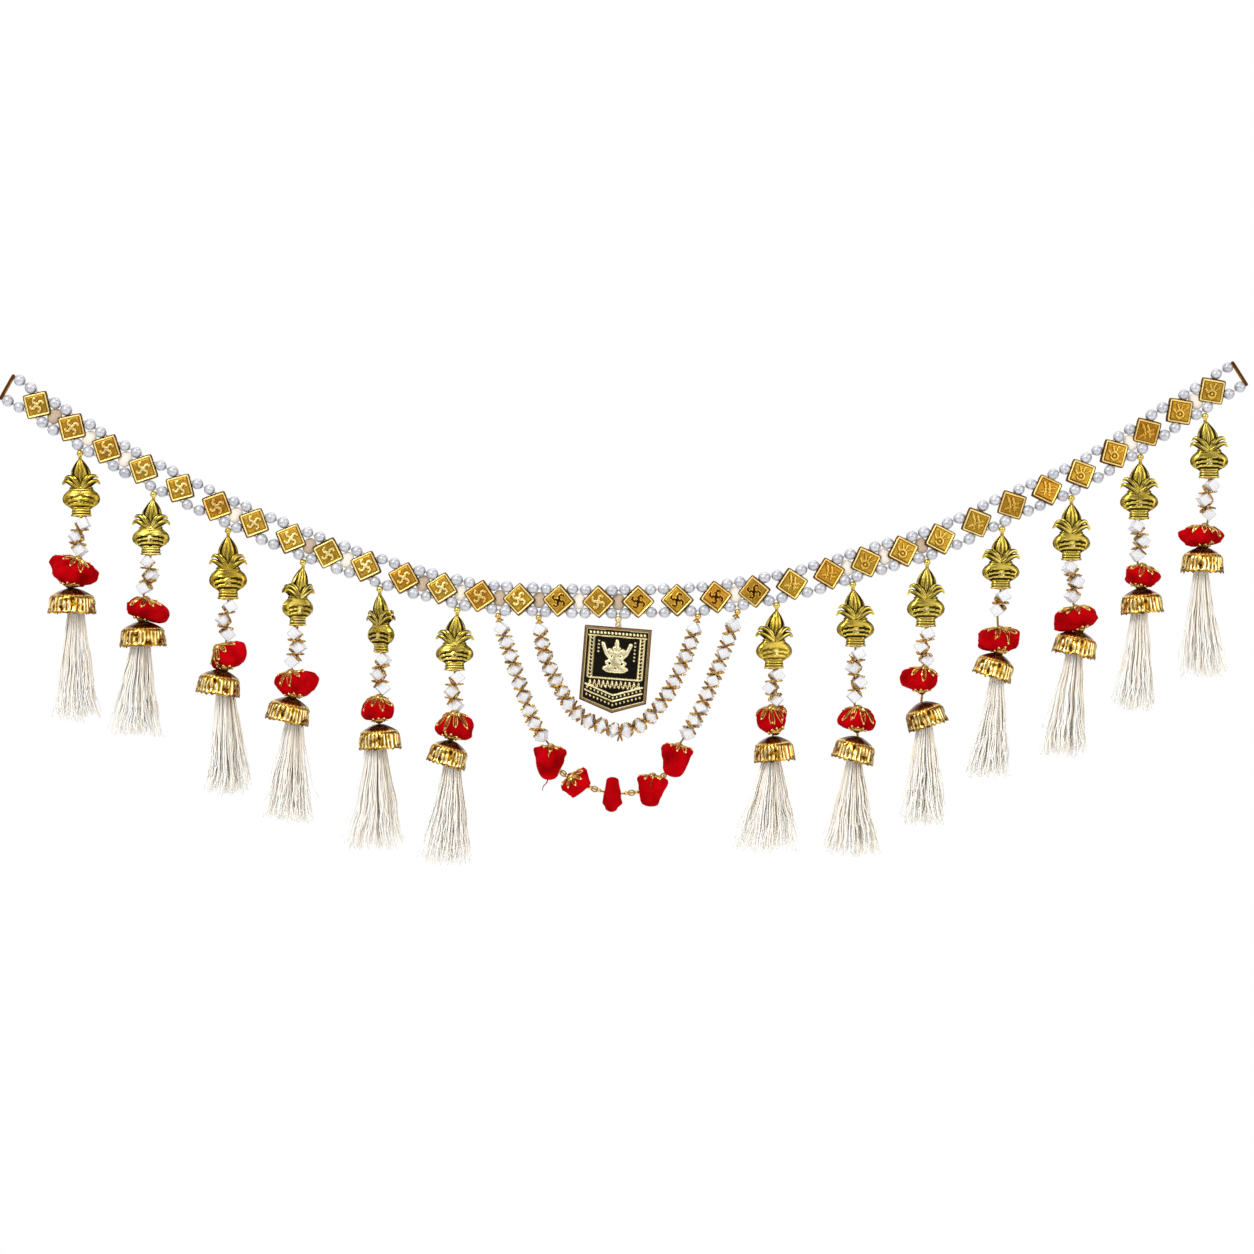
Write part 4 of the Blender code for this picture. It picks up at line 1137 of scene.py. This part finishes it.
def make_hangers():
    """Beads, spacers, wire, bell, bud, cap and tassel of every hanger."""
    make_charms()
    for number, hanger in enumerate(HANGERS, start=1):
        tag = "_%02d" % number
        place = notch(hanger.after)
        top, axis = bell_top(hanger)
        beads = Shape("edge")
        gold = Shape("relief", "tint")
        centres = hanger_beads(hanger, place)
        foot = place + Vector((core_x(hanger, hanger.foot_z), 0.0, -hanger.foot_z))
        add_string(beads, gold, centres, foot, place + top)
        add_moved(gold, turned(FOOT_CUP, 14), foot + DOWN * 0.2, relief=0.7, tint=0.2)
        add_tube(gold, [foot, centres[-1], place + top + DOWN], [0.8, 0.8, 0.9], 8, relief=0.4, tint=0.3)
        dress(beads.build("beads" + tag, LOOKS["bead"], 20.0), "white_bead", "string" + tag)
        bell = Shape("relief", "tint")
        bell_mesh(bell, place + top, axis, hanger.bell_w / 2, rng.uniform(0, 0.4))
        dress(bell.build("bell" + tag, LOOKS["bell"], 60.0), "bell_gold", "string" + tag)

        lowest = -top.z - 0.6
        high = max(0.5 * min(hanger.bud_h, 2 * (lowest - hanger.bud_z)), LEAST_BUD)
        centre = place + Vector((hanger.bud_x, 0.0, -min(hanger.bud_z, lowest - high)))
        matrix = Matrix.Translation(centre) @ Matrix.Rotation(math.radians(hanger.bud_tilt), 4, "Y")
        points = bud_points(number, 0.44 * hanger.bud_w, high, 0.38 * hanger.bud_w, matrix)
        make_bud("velvet" + tag, points, "bud" + tag)
        shift = core_x(hanger, hanger.bud_z) - hanger.bud_x
        add_cap(gold, points, matrix, shift, 11.5, 8)
        add_cap(gold, points, matrix, shift, 6.0, 8, -1.0)
        dress(gold.build("spacers" + tag, LOOKS["spacer"], 60.0), "bell_gold", "string" + tag)
        make_tassel(number, hanger, place)


# Pendant

PLAQUE_COLUMNS = 95
PLAQUE_ROWS = 123
PLAQUE_SIDES = (  # growth, place in front of the middle and relief of the rings behind the plaque's front
    (1.0, PENDANT_THICK / 2 - 0.6, 0.42), (1.022, PENDANT_THICK / 2 - 1.6, 0.46), (1.022, -1.6, 0.42),
    (1.0, -PENDANT_THICK / 2, 0.5), (0.93, -PENDANT_THICK / 2, 0.5), (0.91, -PENDANT_THICK / 2 + 0.6, 0.4))
FIGURE_DOMES = (  # centre across and up, half width, half height and turn
    (0.0, -12.4, 1.7, 4.0, 0.0), (0.0, -15.6, 3.4, 1.8, 0.0), (0.0, -19.0, 3.4, 3.8, 0.0),
    (-4.8, -18.6, 2.4, 3.0, 0.4), (4.8, -18.6, 2.4, 3.0, -0.4), (0.0, -25.4, 4.4, 4.8, 0.0),
    (-5.2, -30.4, 4.8, 2.1, 0.25), (5.2, -30.4, 4.8, 2.1, -0.25), (0.0, -32.6, 8.4, 1.7, 0.0))
FIGURE_STROKES = (  # corners, and half width at the start and end
    (((3.6, -24.0), (7.6, -19.6), (10.6, -12.4)), 1.3, 1.5),
    (((-3.6, -24.0), (-7.6, -19.6), (-10.6, -12.4)), 1.3, 1.5),
    (((4.2, -24.6), (7.4, -26.4), (5.6, -28.6)), 1.1, 0.9),
    (((-4.2, -24.6), (-7.4, -26.4), (-5.6, -28.6)), 1.1, 0.9),
    (((0.0, -19.0), (-0.4, -23.4), (1.4, -26.6), (3.8, -25.8)), 1.5, 0.8))


def pendant_figure(x, z):
    """Height of the seated figure."""
    figure = np.zeros_like(x)
    for values in FIGURE_DOMES:
        lift(figure, dome(x, z, *values))
    for values in FIGURE_STROKES:
        lift(figure, stroke(x, z, *values))
    return figure


def pendant_relief(x, z):
    """Height of the plaque's front: studded border, pillars, seated figure, chevron foot."""
    edge = np.minimum(24.9 - np.abs(x), -z)
    slope = (z + PENDANT_SIDE + PENDANT_POINT) - np.abs(x) * PENDANT_POINT / 25.0
    edge = np.minimum(edge, slope * 0.9)
    height = np.full_like(x, 0.15)
    height = np.where(edge < 2.0, 0.62, height)
    height = np.where((edge > 2.0) & (edge < 2.7), 0.2, height)
    for k in range(16):
        stud = dome(x, z, -20.6 + k * 2.75, -4.3, 1.15, 1.2)
        lift(height, np.where(stud > 0, 0.35 + 0.65 * stud, 0))
    lift(height, 0.85 * stroke(x, z, ((-22.0, -6.6), (22.0, -6.6)), 0.7))
    for sign in (-1, 1):
        for out, half in ((20.6, 0.9), (17.6, 0.8)):
            lift(height, 0.85 * stroke(x, z, ((sign * out, -7.5), (sign * out, -38.0)), half))
        for k in range(11):
            low = -9.4 - 2.7 * k
            lift(height, 0.7 * stroke(x, z, ((sign * 18.2, low), (sign * 20.2, low + 0.8)), 0.55))
        for k in range(4 if sign < 0 else 6):
            lift(height, 0.9 * dome(x, z, sign * 13.8, -10.5 - 2.7 * k, 0.95, 0.85))
    figure = pendant_figure(x, z)
    grooves = stroke(x, z, ((-2.0, -17.6), (-1.2, -17.9)), 0.5) + stroke(x, z, ((2.0, -17.6), (1.2, -17.9)), 0.5)
    height = np.where(figure > 0.12, 0.5 + 0.5 * figure - 0.35 * np.clip(grooves, 0, 1), height)
    lift(height, 0.9 * stroke(x, z, ((-19.5, -38.6), (19.5, -38.6)), 0.8))
    for k in range(12):
        cx = -18.4 + 3.35 * k
        blade = ((cx - 1.1, -45.4), (cx + 0.1 * (k % 3), -40.6), (cx + 1.2, -44.8))
        lift(height, 0.9 * stroke(x, z, blade, 0.8, 0.5))
    for level, half in ((47.2, 0.9), (51.8, 0.8)):
        line = ((-21.6, 3.4 - level), (0.0, -4.0 - level), (21.6, 3.4 - level))
        lift(height, 0.95 * stroke(x, z, line, half))
    for k in range(-7, 8):
        cx = 2.9 * k
        for level in (49.4, 54.6):
            lift(height, 0.85 * dome(x, z, cx, -4.0 - level + abs(cx) * 0.343, 0.9, 1.1))
    return np.clip(height, 0, 1)


def make_pendant():
    """Plaque with its relief, bevelled dark edge and bail."""
    turn = np.array(Matrix.Rotation(PENDANT_TILT, 3, "Y"))
    place = notch(PENDANT_AFTER)
    hung = np.array(place + DOWN * PENDANT_DROP)
    grid_u, grid_v = np.meshgrid(np.linspace(-1, 1, PLAQUE_COLUMNS), np.linspace(0, 1, PLAQUE_ROWS))
    x = grid_u * PENDANT_WIDTH / 2
    z = -grid_v * (PENDANT_SIDE + PENDANT_POINT * (1 - np.abs(grid_u)))
    relief = pendant_relief(x, z)
    rim = (np.abs(grid_u) > 0.985) | (grid_v < 0.006) | (grid_v > 0.994)
    dark = (np.abs(grid_u) > 0.955) | (grid_v < 0.02) | (grid_v > 0.98)
    front = np.where(rim, PENDANT_THICK / 2 - 0.6, PENDANT_THICK / 2 + 1.5 * (relief - 0.7))
    shape = Shape("relief", "tint")

    def carried(across, out, height):
        flat = np.stack([across.ravel(), -out.ravel(), height.ravel()], axis=1)
        return flat @ turn.T + hung

    shape.add(carried(x, front, z), grid_faces(PLAQUE_ROWS, PLAQUE_COLUMNS),
              relief=np.where(rim, 0.42, relief).ravel(), tint=np.where(dark, 0.8, 0.0).ravel())
    ring_x, ring_z = border(x), border(z)
    size = len(ring_x)
    middle = -(PENDANT_SIDE + PENDANT_POINT / 2) / 2
    rings = [carried(ring_x * grow, np.full(size, out), middle + (ring_z - middle) * grow)
             for grow, out, _ in PLAQUE_SIDES]
    faces = grid_faces(len(rings), size, wrap=True) + [row_face(len(rings) - 1, size)]
    shape.add(np.concatenate(rings), faces, relief=np.repeat([row[2] for row in PLAQUE_SIDES], size), tint=0.9)
    add_moved(shape, ball(2.6, 14, 9), place, relief=0.8, tint=0.1)
    for drop, radius in ((4.2, 1.7), (7.6, 2.2)):
        path = [place + DOWN * drop + Vector((radius * math.cos(angle), 0.0, 1.35 * radius * math.sin(angle)))
                for angle in circle(16)]
        add_tube(shape, path, 0.75, 8, loop=True, relief=0.75, tint=0.2)
    return dress(shape.build("pendant_relief", LOOKS["antique"], 60.0), "antique_gold", "pendant")


# Swags

SWAG_CUP = ((1.0, 0.0), (2.3, 1.0), (3.4, 2.4), (2.2, 2.8))
THREAD_TAIL = ((0.0, 2.0), (-1.0, -2.0), (-3.4, -4.6), (-4.4, -8.0))
TAIL_POINTS = 13


def swag_line(name, route, count, end):
    """Beads, spacers and ball of one swag side, as the solids have them."""
    fractions = [(k + 0.95) / (count - 0.05 + end) for k in range(count)]
    centres = evenly_spaced(route, fractions)
    beads = Shape("edge")
    gold = Shape("relief", "tint")
    add_string(beads, gold, centres, route[0], route[-1], 8.0)
    fall = (route[1] - route[0]).normalized()
    add_moved(gold, ball(2.4, 14, 9), route[0], relief=0.8, tint=0.1)
    add_moved(gold, turned(SWAG_CUP, 12), route[0] + fall * 2.0, fall, relief=0.7, tint=0.2)
    if end < 1.0:
        for way in (-1, 1):
            add_spacer(gold, route[-1], Vector((1.0, 0.0, 0.25 * way)).normalized())
    add_tube(gold, [route[0]] + centres + [route[-1]], 0.7, 6, relief=0.3, tint=0.3)
    dress(beads.build(name + "_beads", LOOKS["bead"], 20.0), "white_bead", name)
    dress(gold.build(name + "_spacers", LOOKS["spacer"], 60.0), "bell_gold", name)


def swag_bud_points(seed, bud, high, matrix):
    """Points of a swag bud, row by row from its tip: a flat topped cone with softened corners."""
    shoulder = bud.tip + 0.35 * (bud.belly - bud.tip)
    points = []
    for level in bud_levels():
        part = 0.5 - 0.5 * level
        body = np.interp(part, (0.0, bud.belly_at, 0.85, 1.0), (bud.base, bud.belly, shoulder, bud.tip))
        edge = min(part / 0.08, (1 - part) / 0.08, 1.0)
        half = 1.04 * body * max(math.sqrt(1 - (1 - edge) ** 2), 0.05)
        for angle in circle(BUD_SIDES):
            square = 0.90 / max(abs(math.cos(angle)), abs(math.sin(angle)), 0.82)
            x, y, z = half * square * math.cos(angle), 0.78 * half * math.sin(angle), high * (1 - 2 * part)
            lump = noise.noise(Vector((x * 0.08 + seed * 5.1, y * 0.08, z * 0.08)))
            fold = abs(noise.noise(Vector((x * 0.18 + seed, y * 0.18, z * 0.10))))
            swell = 1 + 0.16 * lump + 0.20 * (0.22 - fold)
            points.append(matrix @ Vector((x * swell, y * swell, z)))
    return points


def add_link(gold, here, there):
    """Wire between two swag buds, with a ring and two small balls."""
    add_tube(gold, [here, there], 0.75, 8, relief=0.5, tint=0.2)
    along = (there - here).normalized()
    for part in (0.36, 0.64):
        add_moved(gold, ball(1.6, 12, 7), here.lerp(there, part), along, relief=0.85, tint=0.1)
    side = along.cross(FRONT)
    ring = [here.lerp(there, 0.5) + along * (2.6 * math.cos(angle)) + side * (1.9 * math.sin(angle))
            for angle in circle(16)]
    add_tube(gold, ring, 0.6, 6, loop=True, relief=0.8, tint=0.2)


def make_swags():
    """Both swags and the five buds, four of them with caps, with links between the buds and a tail of thread."""
    inner = [from_tile(x, z) for x, z in INNER_ROUTE]
    middle = len(inner) // 2
    swag_line("swag_inner_left", [notch(INNER_AFTER[0])] + inner[:middle + 1], INNER_BEADS[0], INNER_END)
    swag_line("swag_inner_right", [notch(INNER_AFTER[1])] + inner[:middle - 1:-1], INNER_BEADS[1], INNER_END)
    for side, after, points, bud in zip(("left", "right"), OUTER_AFTER, OUTER_ROUTES,
                                        (SWAG_BUDS[0], SWAG_BUDS[-1])):
        route = [notch(after)] + [from_tile(x, z) for x, z in points] + [from_tile(bud.base_x, bud.base_z)]
        swag_line("swag_outer_" + side, route, OUTER_BEADS, OUTER_END)

    gold = Shape("relief", "tint")
    middles = []
    for k, bud in enumerate(SWAG_BUDS):
        base = from_tile(bud.base_x, bud.base_z)
        tip = from_tile(bud.tip_x, bud.tip_z)
        axis = (tip - base).normalized()
        matrix = Matrix.Translation((base + tip) / 2) @ DOWN.rotation_difference(axis).to_matrix().to_4x4()
        points = swag_bud_points(20 + k, bud, (tip - base).length / 2, matrix)
        make_bud("swag_velvet_%d" % (k + 1), points, "swag_buds")
        if k != 2:
            add_cap(gold, points, matrix, 0.0, 9.0, 9, lean=0.9 if k == 1 else 0.17)
        middles.append((base + tip) / 2)
    for here, there in zip(middles, middles[1:]):
        add_link(gold, here, there)
    dress(gold.build("swag_links", LOOKS["spacer"], 60.0), "bell_gold", "swag_buds")
    first = SWAG_BUDS[0]
    knots = [from_tile(first.tip_x + x, first.tip_z + z) for x, z in THREAD_TAIL]
    tail = [smooth_point(knots, i / 4) for i in range(TAIL_POINTS)]
    loose = Shape()
    add_tube(loose, tail, [0.6 - 0.025 * i for i in range(TAIL_POINTS)], 5)
    dress(loose.build("swag_thread", LOOKS["velvet"], 180.0), "red_velvet", "swag_buds")


# Camera, floor and light

PHOTO_MM = 0.76  # size of one photo pixel at the hanging
PHOTO_SIDE = 1254
PHOTO_TILE = (37, 405)  # first tile's centre in the photo
CAMERA_AWAY = 2.6  # in metres, as the floor's and the lamps' places
SENSOR = 36.0
FLOOR_BELOW = 0.92
FLOOR_SIZE = 4.0
LAMPS = (  # name, place from the picture's centre, size and power
    ("key", (-1.0, -1.7, 1.5), 0.8, 24.0), ("fill", (1.8, -1.4, 0.2), 1.2, 7.0),
    ("top", (0.2, 0.3, 1.9), 1.2, 7.0))


def make_stage():
    """Frontal camera with the photo's framing, pale floor, soft studio light."""
    right = (PHOTO_SIDE / 2 - PHOTO_TILE[0]) * PHOTO_MM
    up = (PHOTO_TILE[1] - PHOTO_SIDE / 2) * PHOTO_MM
    centre = from_tile(right, up) * MM
    data = bpy.data.cameras.new("camera")
    data.sensor_width = SENSOR
    data.lens = SENSOR * CAMERA_AWAY / (PHOTO_SIDE * PHOTO_MM * MM)
    camera = bpy.data.objects.new("camera", data)
    camera.location = centre + FRONT * CAMERA_AWAY
    camera.rotation_euler = (math.pi / 2, 0.0, 0.0)
    bpy.context.scene.collection.objects.link(camera)
    bpy.context.scene.camera = camera

    bpy.ops.mesh.primitive_plane_add(size=FLOOR_SIZE, location=(centre.x, 0.0, centre.z - FLOOR_BELOW))
    floor = bpy.context.object
    floor.name = "floor"
    floor.data.materials.append(LOOKS["floor"])

    for name, place, size, power in LAMPS:
        lamp = bpy.data.lights.new(name, "AREA")
        lamp.size = size
        lamp.energy = power
        light = bpy.data.objects.new(name, lamp)
        light.location = centre + Vector(place)
        light.rotation_euler = (centre - light.location).to_track_quat("-Z", "Y").to_euler()
        bpy.context.scene.collection.objects.link(light)
    make_sky()
    bpy.context.scene.view_settings.view_transform = "Standard"


def make_sky():
    """White to the camera, soft from above to surfaces, with bright windows in what shines."""
    world = bpy.data.worlds.new("studio")
    world.use_nodes = True
    bpy.context.scene.world = world
    tree = world.node_tree
    where = tree.nodes.new("ShaderNodeTexCoord")
    wave = node(tree, "ShaderNodeTexNoise", Scale=2.2, Detail=1.0)
    tree.links.new(where.outputs["Generated"], wave.inputs["Vector"])
    windows = ramp(tree, wave.outputs["Fac"], (
        (0.42, (0.05, 0.045, 0.04)), (0.50, (0.45, 0.44, 0.43)), (0.58, (1.5, 1.5, 1.5))))
    seen = tree.nodes.new("ShaderNodeLightPath")
    height = tree.nodes.new("ShaderNodeSeparateXYZ")
    tree.links.new(where.outputs["Generated"], height.inputs["Vector"])
    upward = node(tree, "ShaderNodeMapRange")
    upward.inputs["From Min"].default_value = -1.0
    tree.links.new(height.outputs["Z"], upward.inputs["Value"])
    soft = ramp(tree, upward.outputs["Result"], (
        (0.0, (0.42, 0.42, 0.43)), (0.5, (0.92, 0.92, 0.92)), (1.0, (1.35, 1.35, 1.34))))
    lit = blend_colours(tree, "MIX", seen.outputs["Is Glossy Ray"], soft, windows)
    shown = blend_colours(tree, "MIX", seen.outputs["Is Camera Ray"], lit, WHITE)
    tree.links.new(shown, tree.nodes["Background"].inputs["Color"])


make_stage()
make_tiles()
make_pearls()
make_threads()
make_gap_shade_pads()
make_end_bars()
make_hangers()
make_pendant()
make_swags()
